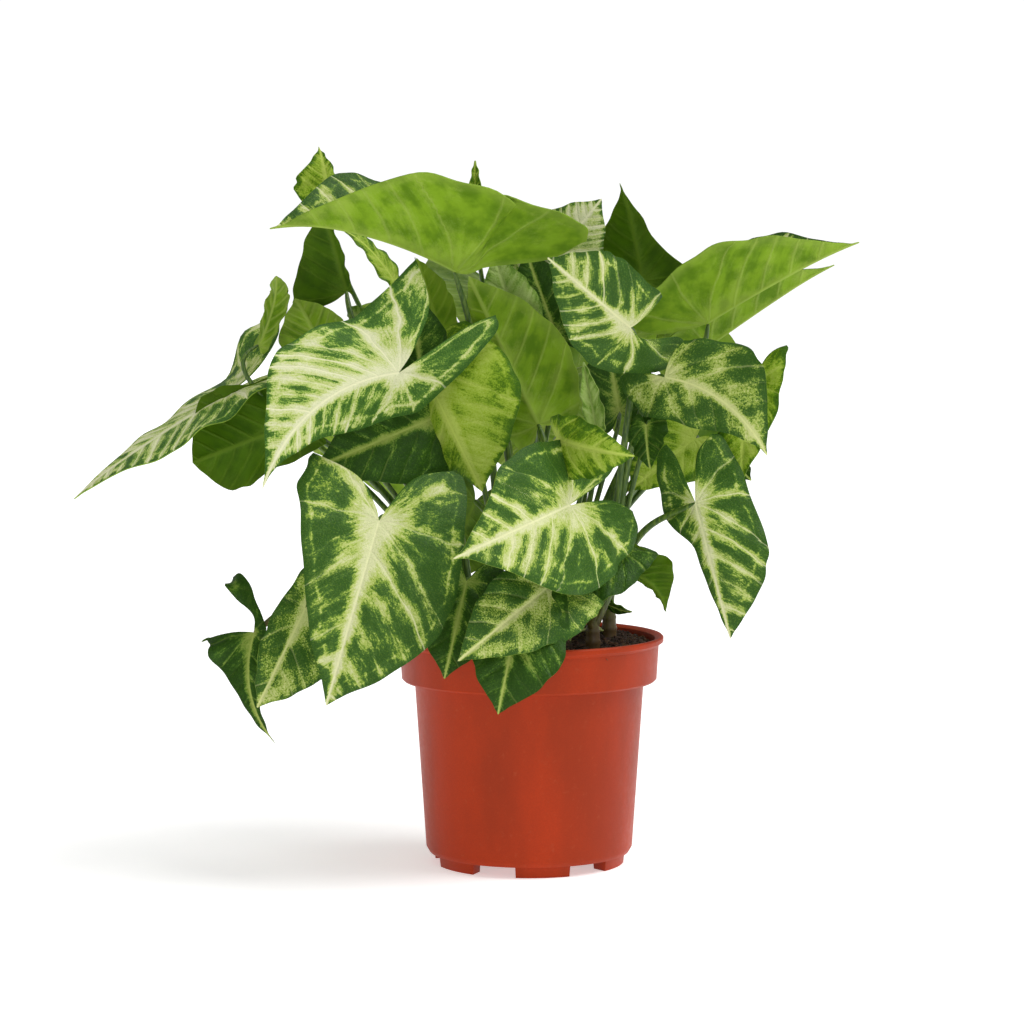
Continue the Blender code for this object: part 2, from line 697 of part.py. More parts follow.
def pot_object():
    """The pot, with gaps cut between its feet and holes through its floor."""
    pot = turned("pot", pot_profile(), "Plant")
    for index in range(POT_FEET):
        turn = math.radians(POT_FOOT_TURN + index * 360.0 / POT_FEET)
        bpy.ops.mesh.primitive_cube_add(size=1.0)
        gap = bpy.context.object
        gap.name = f"foot_gap_{index}"
        wide = 2 * POT_FOOT_RADIUS * math.sin(math.radians(POT_FOOT_GAP_ARC / 2))
        reach = 2.5 * POT_FOOT_WIDTH
        middle = (POT_FOOT_RADIUS - POT_FOOT_WIDTH / 2) * MM
        gap.scale = (reach * MM, wide * MM, (POT_FOOT_HEIGHT * 2 - 0.2) * MM)
        gap.location = (math.cos(turn) * middle, math.sin(turn) * middle, 0.0)
        gap.rotation_euler = (0.0, 0.0, turn)
        cut(pot, gap)
        turn += math.radians(180.0 / POT_FEET)
        bpy.ops.mesh.primitive_cylinder_add(vertices=12, radius=DRAIN_RADIUS * MM, depth=20 * MM)
        drain = bpy.context.object
        drain.name = f"drain_{index}"
        ring = DRAIN_RING_RADIUS * MM
        drain.location = (math.cos(turn) * ring, math.sin(turn) * ring, POT_FOOT_HEIGHT * MM)
        cut(pot, drain)
    pot.data.materials.append(material("pot_terracotta", (0.48, 0.062, 0.024), 0.45))
    return pot


def cut(body, cutter):
    """Subtracts a cutter from a body and moves it to the cutters' collection."""
    for held in list(cutter.users_collection):
        held.objects.unlink(cutter)
    in_collection("Cutters").objects.link(cutter)
    cutter.parent = standing_place()
    cutter.hide_render = True
    cutter.display_type = "WIRE"
    gap = body.modifiers.new(cutter.name, "BOOLEAN")
    gap.operation = "DIFFERENCE"
    gap.object = cutter
    gap.solver = "EXACT"


def sprout_points():
    """A short shoot that leans over the soil and ends in a bud."""
    surface = soil_height(SPROUT_X, SPROUT_Y)
    root = ((0, 0, -SPROUT_DEPTH), (0, 0, 1))
    lean = ((3, 1, 3.5), (7, 2, 4.8), (10, 3, 5.0), (12, 4, 4.8), (15, 5, 4.0))
    return [(SPROUT_X + x, SPROUT_Y + y, surface + z) for x, y, z in root + lean]


def sprout_object():
    """The small pale shoot at the front right of the soil."""
    sprout = tube_object("sprout", sprout_points(), (0.8, 0.8, 0.7, 0.7, 1.6, 1.7, 0.4), 1, "Plant")
    sprout.data.materials.append(material("sprout_pale", (0.28, 0.36, 0.06), 0.5))
    return sprout


def soil_object():
    """The soil: fills the pot up to its lumpy surface, with a plain hole for each stem."""
    floor = POT_FOOT_HEIGHT + POT_WALL + SOIL_GAP
    inside = POT_WALL + SOIL_GAP
    top_radius = POT_BAND_RADIUS - inside - SOIL_GAP
    profile = [
        (POT_BODY_BOTTOM_RADIUS - inside - POT_WALL - SOIL_GAP, floor),
        (POT_BODY_BOTTOM_RADIUS - inside - SOIL_GAP / 2, floor + 3.0),
        (POT_BODY_TOP_RADIUS - inside - SOIL_GAP / 2, POT_BAND_BOTTOM + SOIL_GAP),
        (top_radius, POT_BAND_BOTTOM + 3.6),
    ]
    for ring in range(SOIL_RINGS):
        profile.append((top_radius * (SOIL_RINGS - ring) / SOIL_RINGS, None))
    bm = bmesh.new()
    made = []
    for radius, height in profile:
        row = []
        for step in range(SOIL_STEPS):
            turn = 2 * math.pi * step / SOIL_STEPS
            x = radius * math.cos(turn)
            y = radius * math.sin(turn)
            z = soil_height(x, y) if height is None else height
            row.append(bm.verts.new((x * MM, y * MM, z * MM)))
        made.append(row)
    for low, high in zip(made[:-1], made[1:]):
        for step in range(SOIL_STEPS):
            after = (step + 1) % SOIL_STEPS
            bm.faces.new((low[step], low[after], high[after], high[step]))
    bm.faces.new(made[0][::-1])
    middle = bm.verts.new((0.0, 0.0, soil_height(0.0, 0.0) * MM))
    for step in range(SOIL_STEPS):
        bm.faces.new((made[-1][step], made[-1][(step + 1) % SOIL_STEPS], middle))
    bmesh.ops.triangulate(bm, faces=[face for face in bm.faces if len(face.verts) == 4])
    mesh = bpy.data.meshes.new("soil")
    bm.to_mesh(mesh)
    bm.free()
    soil = add_object("soil", mesh, "Plant")
    for home in PLANTLETS:
        radius = STEM_RADIUS + SOIL_GAP + 0.2
        points = stem_points(home, STEM_BELOW_SOIL + SOIL_GAP + 0.5, STEM_ABOVE_SOIL)
        hole = tube_object(home.name + "_hole", points, [radius] * 3, 2, "Plant")
        cut(soil, hole)
    surface = soil_height(SPROUT_X, SPROUT_Y)
    points = [(SPROUT_X, SPROUT_Y, surface - SPROUT_DEPTH - 0.5), (SPROUT_X, SPROUT_Y, surface + 3)]
    cut(soil, tube_object("sprout_hole", points, [1.3, 1.3], 2, "Plant"))
    soil.data.materials.append(material("soil_peat", (0.022, 0.012, 0.007), 0.95))
    return soil


def main():
    for old in list(bpy.data.objects):
        bpy.data.objects.remove(old)
    pot_object()
    soil_object()
    sprout_object()
    for home in PLANTLETS:
        plantlet_object(home)


if __name__ == "__main__":
    main()
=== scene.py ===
"""Arrowhead plant in its nursery pot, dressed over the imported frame.

Each blade, each set of stalks, the pot, the soil and the sprout is a piece of its own. Places are in
millimetres from the pot's axis until a mesh is made, and in metres in the frame's own place after that.
"""

from __future__ import annotations

import logging
import math
from dataclasses import dataclass
from enum import Enum
from typing import Any, Sequence

import bmesh
import bpy
import numpy as np
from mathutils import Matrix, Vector


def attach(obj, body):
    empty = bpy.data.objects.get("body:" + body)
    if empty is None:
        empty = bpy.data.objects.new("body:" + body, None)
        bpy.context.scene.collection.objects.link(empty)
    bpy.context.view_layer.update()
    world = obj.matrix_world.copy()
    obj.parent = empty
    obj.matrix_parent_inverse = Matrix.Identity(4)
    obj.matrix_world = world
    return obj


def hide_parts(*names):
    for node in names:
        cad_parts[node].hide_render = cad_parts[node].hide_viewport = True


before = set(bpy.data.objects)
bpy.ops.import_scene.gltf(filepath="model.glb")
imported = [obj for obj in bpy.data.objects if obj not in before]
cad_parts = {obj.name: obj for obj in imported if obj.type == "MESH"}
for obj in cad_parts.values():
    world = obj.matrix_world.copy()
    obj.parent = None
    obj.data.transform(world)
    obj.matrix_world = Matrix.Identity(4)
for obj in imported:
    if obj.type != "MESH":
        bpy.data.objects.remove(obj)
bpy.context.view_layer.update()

LOG = logging.getLogger("arrowhead_plant")

# Kinds of node that the materials use most
MATH = "ShaderNodeMath"
MIX = "ShaderNodeMix"
NOISE = "ShaderNodeTexNoise"
RANGE = "ShaderNodeMapRange"
ATTRIBUTE = "ShaderNodeAttribute"

MM = 0.001
# The pot's axis stands here, because the origin is under the middle of the foliage
POT_X = 25.5
POT_Y = -8.0
VIEWER = Vector((-7.7, -1400.0, 268.0))
JUNCTION_ROW_SHARE = 0.6
SMALL_LEAF_ROWS = 5
STEM_ABOVE_SOIL = 12.0
STEM_BELOW_SOIL = 9.0
BLADE_CAD_THICKNESS = 0.7
POT_HEIGHT = 102.0
POT_FOOT_HEIGHT = 5.0
POT_LIP_RADIUS = 60.0
POT_BAND_RADIUS = 57.0
POT_BAND_BOTTOM = 82.0
POT_BODY_TOP_RADIUS = 51.2
POT_BODY_BOTTOM_RADIUS = 46.2
POT_FOOT_RADIUS = 43.0
POT_FOOT_WIDTH = 8.0
POT_WALL = 1.4
POT_LIP_DROP = 4.0
POT_BEAD = 0.9
POT_ROUNDING = 0.6
DRAIN_RADIUS = 4.0
DRAIN_RING_RADIUS = 24.0
SOIL_EDGE_HEIGHT = 97.0
SOIL_MOUND = 6.0
SOIL_GAP = 0.3
CM2_PER_M2 = 1e4
WHITE = (1.0, 1.0, 1.0, 1.0)
# Angles in degrees past which an edge is shaded sharp
BLADE_SHARP_EDGE = 55
PLAIN_SHARP_EDGE = 40


class Look(Enum):
    """How much of a blade's upper face is pale; the dark look is partly painted shade."""

    CREAM = "cream"
    MARKED = "marked"
    LIME = "lime"
    SPECKLED = "speckled"
    # Partly the blades' own deep green and partly painted shade, for blades that sit in shade
    DARK = "dark"
    PALE = "pale"


@dataclass(frozen=True)
class Half:
    """One half of a blade, from its midrib to its margin.

    width: midrib to margin where it is widest. belly: where that is, as a share of the way to the tip.
    back, out: how far the lobe's point lies behind the junction and away from the midrib's line. An out
    below 0 takes it across the midrib. fold: degrees it is raised to the upper side. droop: degrees its
    margin turns down. lift: extra degrees of fold on the lobe. full: how far the margin between belly and
    tip stands out, where 1 is a plain curve. swell: how far the lobe's inner edge stands out to the other
    half.
    """

    width: float = 34.0
    belly: float = 0.14
    back: float = 24.0
    out: float = 24.0
    fold: float = 12.0
    droop: float = 18.0
    lift: float = 0.0
    full: float = 1.0
    swell: float = 0.0


@dataclass(frozen=True)
class Leaf:
    """A blade on its petiole.

    junction, tip: across, up and depth in millimetres. roll: degrees the blade is turned about its midrib
    from facing the viewer. right and left are as seen on the upper side with the tip pointing away.
    arch, curl: degrees the midrib bends down along its length and near its tip. twist: degrees the blade
    turns from junction to tip. bow: millimetres the midrib's middle stands out to the right. nape: degrees
    the lobes bend up. full_tip: how blunt the tip is, where 1 is plain. wave: height of the margin's
    ripples in millimetres, and waves: how many there are. via: points of the petiole between stem and
    junction. arrive: how far the petiole comes in from behind the junction, against from below it.
    rows: rows of faces from tip to lobe in the part's solids. look: how much of the upper face is pale, and
    how dark its greens are, where the dark look is partly painted shade.
    """

    name: str
    plantlet: str
    look: Look
    junction: tuple
    tip: tuple
    roll: float = 0.0
    right: Half = Half()
    left: Half = Half()
    arch: float = 25.0
    curl: float = 10.0
    twist: float = 0.0
    bow: float = 0.0
    nape: float = 0.0
    full_tip: float = 1.0
    wave: float = 1.0
    waves: float = 1.5
    via: tuple = ()
    arrive: float = 0.7
    rows: int = 10


@dataclass(frozen=True)
class Plantlet:
    """A rooted cutting: where its stem stands on the soil, in millimetres."""

    name: str
    x: float
    y: float


PLANTLETS = (
    Plantlet("plantlet_front_left", -22, -20),
    Plantlet("plantlet_front", 6, -30),
    Plantlet("plantlet_front_right", 28, -16),
    Plantlet("plantlet_left", -36, 4),
    Plantlet("plantlet_middle_left", -12, 2),
    Plantlet("plantlet_middle_right", 12, 4),
    Plantlet("plantlet_right", 36, 8),
    Plantlet("plantlet_back_right", 22, 30),
    Plantlet("plantlet_back", -2, 34),
    Plantlet("plantlet_back_left", -26, 26),
)

LEAVES = (
    Leaf(
        "large_cream", "plantlet_left", Look.CREAM, (-58, 219, -48), (-119, 167, -78), 5, bow=11, nape=20,
        full_tip=0.5, right=Half(30, 0.3, 42, 34, 5, 10), left=Half(21, 0.1, 52, 8, -28, 10, lift=30),
        arch=28,
    ),
    Leaf(
        "hanging_front_left", "plantlet_front_left", Look.MARKED, (-67, 153, -66), (-91, 70, -88), 0,
        right=Half(37, -0.05, 24, 35, 5, 12, full=0.82), left=Half(40, 0.33, 34, 25, 5, 12), wave=1.6,
    ),
    Leaf(
        "front_middle", "plantlet_front", Look.MARKED, (18, 160, -62), (-34, 136, -106), 0,
        right=Half(30, 0.15, 54, 10, 8, 12), left=Half(37, 0.1, 46, 14, 8, 20), full_tip=0.6, wave=1.8,
        waves=2,
    ),
    Leaf(
        "front_yellow", "plantlet_front", Look.SPECKLED, (8, 123, -68), (-32, 90, -92), 0,
        right=Half(17, 0.3, 12, 10, 8, 12), left=Half(23, 0.1, 20, 20, 8, 12, full=0.9),
    ),
    Leaf(
        "front_under", "plantlet_front_right", Look.DARK, (40, 140, -32), (10, 110, -52), 15,
        right=Half(14, 0.3, 12, 10), left=Half(16, 0.2, 12, 12), rows=5,
    ),
    Leaf(
        "front_low", "plantlet_front", Look.DARK, (-4, 116, -70), (-14, 66, -84), 0,
        right=Half(18, 0.35, 12, 12), left=Half(23, 0.35, 12, 14),
    ),
    Leaf(
        "shadow_low", "plantlet_front_left", Look.DARK, (-28, 126, -50), (-38, 82, -64), 0,
        right=Half(17, 0.3, 12, 12), left=Half(17, 0.3, 12, 12), rows=5,
    ),
    Leaf(
        "left_low", "plantlet_left", Look.SPECKLED, (-100, 114, -40), (-122, 69, -52), 0,
        right=Half(12, 0.3, 18, 6, 25), left=Half(22, 0.3, 12, 12), waves=2, via=((-64, 116, -18),),
    ),
    Leaf(
        "left_curled", "plantlet_left", Look.DARK, (-123, 103, -30), (-114, 53, -36), 10, bow=6,
        right=Half(18, 0.15, 3, 26, 5, full=0.45), left=Half(6, 0.1, 31, -8, 5, swell=8),
        wave=2, waves=2.5, full_tip=0.5, via=((-62, 112, -10), (-104, 114, -24)),
    ),
    Leaf(
        "left_long", "plantlet_left", Look.CREAM, (-133, 211, -20), (-203, 163, -52), 74, arch=5, curl=5,
        full_tip=0.6, wave=1.8, waves=2.5, right=Half(30, 0.05, 50, 44, 0, 10, lift=35, full=0.75),
        left=Half(24, 0.35, 20, 16, 0, 12),
    ),
    Leaf(
        "left_small_upright", "plantlet_left", Look.MARKED, (-120, 231, -18), (-112, 262, -16), 125,
        right=Half(8, 0.7, 3, 3, 20), left=Half(8, 0.7, 3, 3, 20), full_tip=1.8, rows=5,
    ),
    Leaf(
        "left_round_under", "plantlet_left", Look.DARK, (-106, 196, -28), (-150, 179, -34), 180,
        right=Half(16, 0.4, 12, 12, full=1.3), left=Half(24, 0.3, 12, 14, full=1.25), full_tip=1.7, rows=5,
    ),
    Leaf(
        "upright_left", "plantlet_left", Look.DARK, (-81, 255, 6), (-92, 292, 0), 170,
        right=Half(25, 0.1, 4, 20, full=0.85), left=Half(3, 0.3, 2, 2, 20),
    ),
    Leaf(
        "behind_cream", "plantlet_back_left", Look.MARKED, (-92, 228, 6), (-104, 252, 0), 150,
        right=Half(20, 0.2, 10, 12), left=Half(16, 0.2, 10, 12), rows=5,
    ),
    Leaf(
        "top_left_curled", "plantlet_back_left", Look.LIME, (-89, 298, 12), (-93, 319, 8), 20,
        right=Half(5, 0.3, 4, 3), left=Half(15, 0.3, 6, 8, 10), rows=5, wave=1.5, full_tip=0.5,
    ),
    Leaf(
        "top_large", "plantlet_middle_left", Look.MARKED, (-33, 264, -14), (-115, 283, -40), 80, nape=30,
        full_tip=0.4, right=Half(32, 0.5, 20, 16, 50, 10), left=Half(47, 0.12, 52, 24, 62, 4), arch=26,
    ),
    Leaf(
        "top_right_light", "plantlet_back_right", Look.MARKED, (79, 241, 6), (146, 277, -14), -90, arch=6,
        curl=4, full_tip=0.45, right=Half(34, 0.3, 30, 26, 58, 10, full=0.92),
        left=Half(32, 0.3, 26, 24, 50, 10),
    ),
    Leaf(
        "top_right_dark", "plantlet_back_right", Look.MARKED, (80, 231, 34), (135, 267, 18), -90, arch=4,
        curl=4, full_tip=0.45, right=Half(24, 0.3, 16, 16, 50, 10), left=Half(24, 0.3, 16, 16, 45, 10),
        rows=5,
    ),
    Leaf(
        "top_curl", "plantlet_back_right", Look.DARK, (50, 260, 40), (40, 303, 32), 160,
        right=Half(17, 0.3, 12, 12), left=Half(26, -0.05, 8, 22, full=0.5), full_tip=0.3, rows=5,
    ),
    Leaf(
        "top_behind", "plantlet_back", Look.CREAM, (4, 262, 34), (32, 296, 30), 0,
        right=Half(20, 0.3, 12, 12), left=Half(18, 0.3, 12, 12), rows=5,
    ),
    Leaf(
        "butterfly", "plantlet_right", Look.MARKED, (45, 239, -46), (8, 270, -62), 0,
        right=Half(20, 0.5, 2, 19), left=Half(23, 0.1, 34, -10, 5, 10, swell=7),
    ),
    Leaf(
        "right_dark", "plantlet_right", Look.SPECKLED, (60, 217, -36), (106, 182, -54), 0, bow=-7,
        right=Half(20, 0.05, 22, 12, -10), left=Half(25, 0.4, 3, 14), curl=25, full_tip=0.7, wave=1.8,
    ),
    Leaf(
        "right_hanging", "plantlet_front_right", Look.MARKED, (74, 161, -26), (90, 100, -40), 0,
        right=Half(17, 0.0, 33, 6, -25, full=0.42, lift=20), left=Half(26, 0.38, 32, 15, 5),
        via=((49, 146, -14),),
    ),
    Leaf(
        "right_small_under", "plantlet_front_right", Look.DARK, (43, 130, -30), (61, 112, -36), 180, bow=4,
        right=Half(14, 0.3, 8, 10), left=Half(2, 0.3, 2, 2, 40), via=((28, 110, -22),), full_tip=0.6, rows=5,
    ),
    Leaf(
        "grey_tip", "plantlet_front_right", Look.DARK, (27, 121, 0), (46, 112, -4), 60,
        right=Half(6, 0.3, 3, 3), left=Half(6, 0.3, 3, 3), rows=5,
    ),
    Leaf(
        "right_pale", "plantlet_back_right", Look.LIME, (98, 212, -6), (95, 171, -10), 20,
        right=Half(14, 0.2, 14, 10), left=Half(15, 0.0, 22, 13), rows=5,
    ),
    Leaf(
        "right_tip", "plantlet_back_right", Look.DARK, (84, 186, 14), (99, 171, 8), 0,
        right=Half(8, 0.3, 5, 5), left=Half(8, 0.3, 5, 5), rows=5,
    ),
    Leaf(
        "right_bright", "plantlet_back_right", Look.LIME, (74, 190, 14), (44, 166, 6), 0,
        right=Half(20, 0.2, 14, 12), left=Half(14, 0.1, 14, 12), rows=5,
    ),
    Leaf(
        "front_curl", "plantlet_front", Look.LIME, (12, 190, -46), (47, 182, -66), 10,
        right=Half(15, 0.3, 6, 6), left=Half(12, 0.3, 6, 6), arch=60, rows=5,
    ),
    Leaf(
        "right_folded", "plantlet_right", Look.DARK, (52, 196, -24), (54, 176, -30), 20,
        right=Half(8, 0.2, 6, 3), left=Half(10, 0.1, 4, 11), rows=5,
    ),
    Leaf(
        "olive_under", "plantlet_middle_right", Look.MARKED, (4, 196, 0), (-27, 262, -14), 180,
        right=Half(17, 0.3, 8, 10), left=Half(27, 0.3, 4, 13), arch=20,
    ),
    Leaf(
        "yellow_under", "plantlet_left", Look.LIME, (-46, 218, -20), (-21, 166, -34), 0,
        right=Half(22, 0.2, 12, 12, -35), left=Half(36, 0.3, 16, 20),
    ),
    Leaf(
        "speckled_under", "plantlet_left", Look.DARK, (-40, 200, -20), (-97, 176, -44), 0,
        right=Half(20, 0.2, 14, 12), left=Half(25, 0.15, 18, 18),
    ),
    Leaf(
        "dark_between", "plantlet_left", Look.DARK, (-48, 216, -16), (-52, 256, -20), 0,
        right=Half(14, 0.3, 10, 10), left=Half(12, 0.3, 8, 8), rows=5,
    ),
    Leaf(
        "light_between", "plantlet_middle_left", Look.LIME, (-40, 238, 0), (-50, 270, -4), 180,
        right=Half(10, 0.3, 8, 6), left=Half(10, 0.3, 8, 6), rows=5,
    ),
    Leaf(
        "pale_middle", "plantlet_middle_right", Look.PALE, (-4, 236, 12), (-16, 272, 6), 0,
        right=Half(13, 0.3, 10, 10), left=Half(13, 0.3, 10, 10), rows=5,
    ),
    Leaf(
        "blue_middle", "plantlet_back", Look.DARK, (12, 236, 26), (-2, 274, 20), 0,
        right=Half(15, 0.3, 12, 12), left=Half(15, 0.3, 12, 12), rows=5,
    ),
    Leaf(
        "light_strip", "plantlet_back_left", Look.LIME, (-60, 260, 20), (-82, 282, 14), 60,
        right=Half(8, 0.3, 5, 5), left=Half(8, 0.3, 5, 5), rows=5,
    ),
    Leaf(
        "pale_bit", "plantlet_back_left", Look.PALE, (-70, 238, 20), (-81, 249, 16), 0,
        right=Half(6, 0.3, 3, 3), left=Half(6, 0.3, 3, 3), rows=5,
    ),
    Leaf(
        "spear", "plantlet_back", Look.LIME, (-24, 286, 20), (-24, 313, 16), 0,
        right=Half(4, 0.3, 2, 2, 45), left=Half(4, 0.3, 2, 2, 45), rows=5,
    ),
    Leaf(
        "rolled_young", "plantlet_middle_right", Look.PALE, (30, 194, -10), (24, 224, -12), 0,
        right=Half(6, 0.3, 3, 2, 50), left=Half(6, 0.3, 3, 2, 50), rows=5,
    ),
    Leaf(
        "dark_middle", "plantlet_back_right", Look.DARK, (40, 202, 18), (34, 236, 12), 0,
        right=Half(15, 0.3, 12, 12), left=Half(15, 0.3, 12, 12), rows=5,
    ),
    Leaf(
        "back_high_left", "plantlet_back_left", Look.MARKED, (-50, 226, 66), (-88, 200, 112), 170,
    ),
    Leaf("back_high", "plantlet_back", Look.CREAM, (-16, 256, 62), (-26, 232, 122), 180),
    Leaf("back_high_right", "plantlet_back_right", Look.MARKED, (30, 246, 70), (62, 222, 120), 190),
    Leaf("back_right", "plantlet_back_right", Look.MARKED, (62, 214, 64), (104, 198, 96), 190),
    Leaf(
        "back_low_right", "plantlet_back_right", Look.DARK, (66, 192, 50), (96, 174, 84), 180,
        right=Half(22), left=Half(22),
    ),
    Leaf("back_low_left", "plantlet_back_left", Look.MARKED, (-62, 190, 60), (-96, 184, 104), 165),
    Leaf("back_middle", "plantlet_back", Look.CREAM, (4, 206, 80), (10, 160, 122), 180),
    Leaf(
        "back_low", "plantlet_back", Look.DARK, (-24, 162, 78), (-40, 122, 104), 175, right=Half(28),
        left=Half(28),
    ),
)


def seen(across: float, up: float, depth: float) -> Vector:
    """Finds the point at a depth that the viewer sees at a place in the plane through the pot's axis.

    Args:
        across: Millimetres to the right in that plane.
        up: Millimetres above the floor in that plane.
        depth: Millimetres behind that plane.

    Returns:
        The point, in millimetres from the pot's axis.
    """
    aim = Vector((across, 0.0, up))
    reach = (depth - VIEWER.y) / -VIEWER.y
    return VIEWER + (aim - VIEWER) * reach


def smooth(value: Any) -> np.ndarray:
    """Returns a soft step from 0 to 1 for a value from 0 to 1."""
    value = np.clip(value, 0.0, 1.0)
    return value * value * (3.0 - 2.0 * value)


def curve_through(points: Any, at: Any) -> np.ndarray:
    """Finds points of a curve through the given ones.

    Args:
        points: The points that the curve passes.
        at: Places along it, from 0 to 1.

    Returns:
        One point for each place.
    """
    points = np.asarray(points, float)
    padded = np.vstack([2 * points[0] - points[1], points, 2 * points[-1] - points[-2]])
    place = np.clip(np.asarray(at, float), 0.0, 1.0) * (len(points) - 1)
    index = np.minimum(place.astype(int), len(points) - 2)
    t = (place - index)[:, None]
    before, start, end, after = (padded[index + k] for k in range(4))
    return 0.5 * (
        2 * start
        + (end - before) * t
        + (2 * before - 5 * start + 4 * end - after) * t**2
        + (3 * start - before - 3 * end + after) * t**3
    )


def soil_height(x: float, y: float) -> float:
    """Returns the height of the soil's surface, in millimetres, as the part's source has it."""
    out = math.hypot(x, y) / POT_BODY_TOP_RADIUS
    mound = max(0.0, 1.0 - ((x - 16) ** 2 + (y - 18) ** 2) / 44**2)
    lumps = 0.7 * math.sin(0.31 * x + 0.9) * math.cos(0.27 * y) + 0.5 * math.sin(0.17 * x - 0.43 * y)
    return SOIL_EDGE_HEIGHT + SOIL_MOUND * mound**1.5 + lumps * min(1.0, 2.0 * max(0.0, 1.0 - out))


def framed(points: Any) -> np.ndarray:
    """Carries places from millimetres round the pot's axis to metres in the frame."""
    return (np.asarray(points, float) + (POT_X, POT_Y, 0.0)) * MM


def linear(code: str) -> tuple[float, float, float, float]:
    """Turns an sRGB hex colour into the linear colour that a shader takes."""
    parts = [int(code.lstrip("#")[k : k + 2], 16) / 255 for k in (0, 2, 4)]
    flat = [c / 12.92 if c <= 0.04045 else ((c + 0.055) / 1.055) ** 2.4 for c in parts]
    return (flat[0], flat[1], flat[2], 1.0)


def add_node(tree: Any, kind: str, inputs: dict[Any, Any] | tuple = (), **settings: Any) -> Any:
    """Adds a node to a tree.

    Args:
        tree: The node tree.
        kind: The node's type.
        inputs: What each input takes, in order or by name or number: a value, an output, or a node whose
            first output is meant.
        **settings: Properties of the node.

    Returns:
        The node.
    """
    made = tree.nodes.new(kind)
    for key, value in settings.items():
        setattr(made, key, value)
    for key, value in (inputs if isinstance(inputs, dict) else dict(enumerate(inputs))).items():
        if isinstance(value, bpy.types.Node):
            value = value.outputs[0]
        if isinstance(value, bpy.types.NodeSocket):
            tree.links.new(value, made.inputs[key])
        else:
            made.inputs[key].default_value = value
    return made


def new_material(name: str) -> tuple[Any, Any, Any]:
    """Makes an empty node material.

    Args:
        name: The material's name.

    Returns:
        The material, its tree and its output node.
    """
    made = bpy.data.materials.new(name)
    made.use_nodes = True
    made.node_tree.nodes.clear()
    return made, made.node_tree, add_node(made.node_tree, "ShaderNodeOutputMaterial")


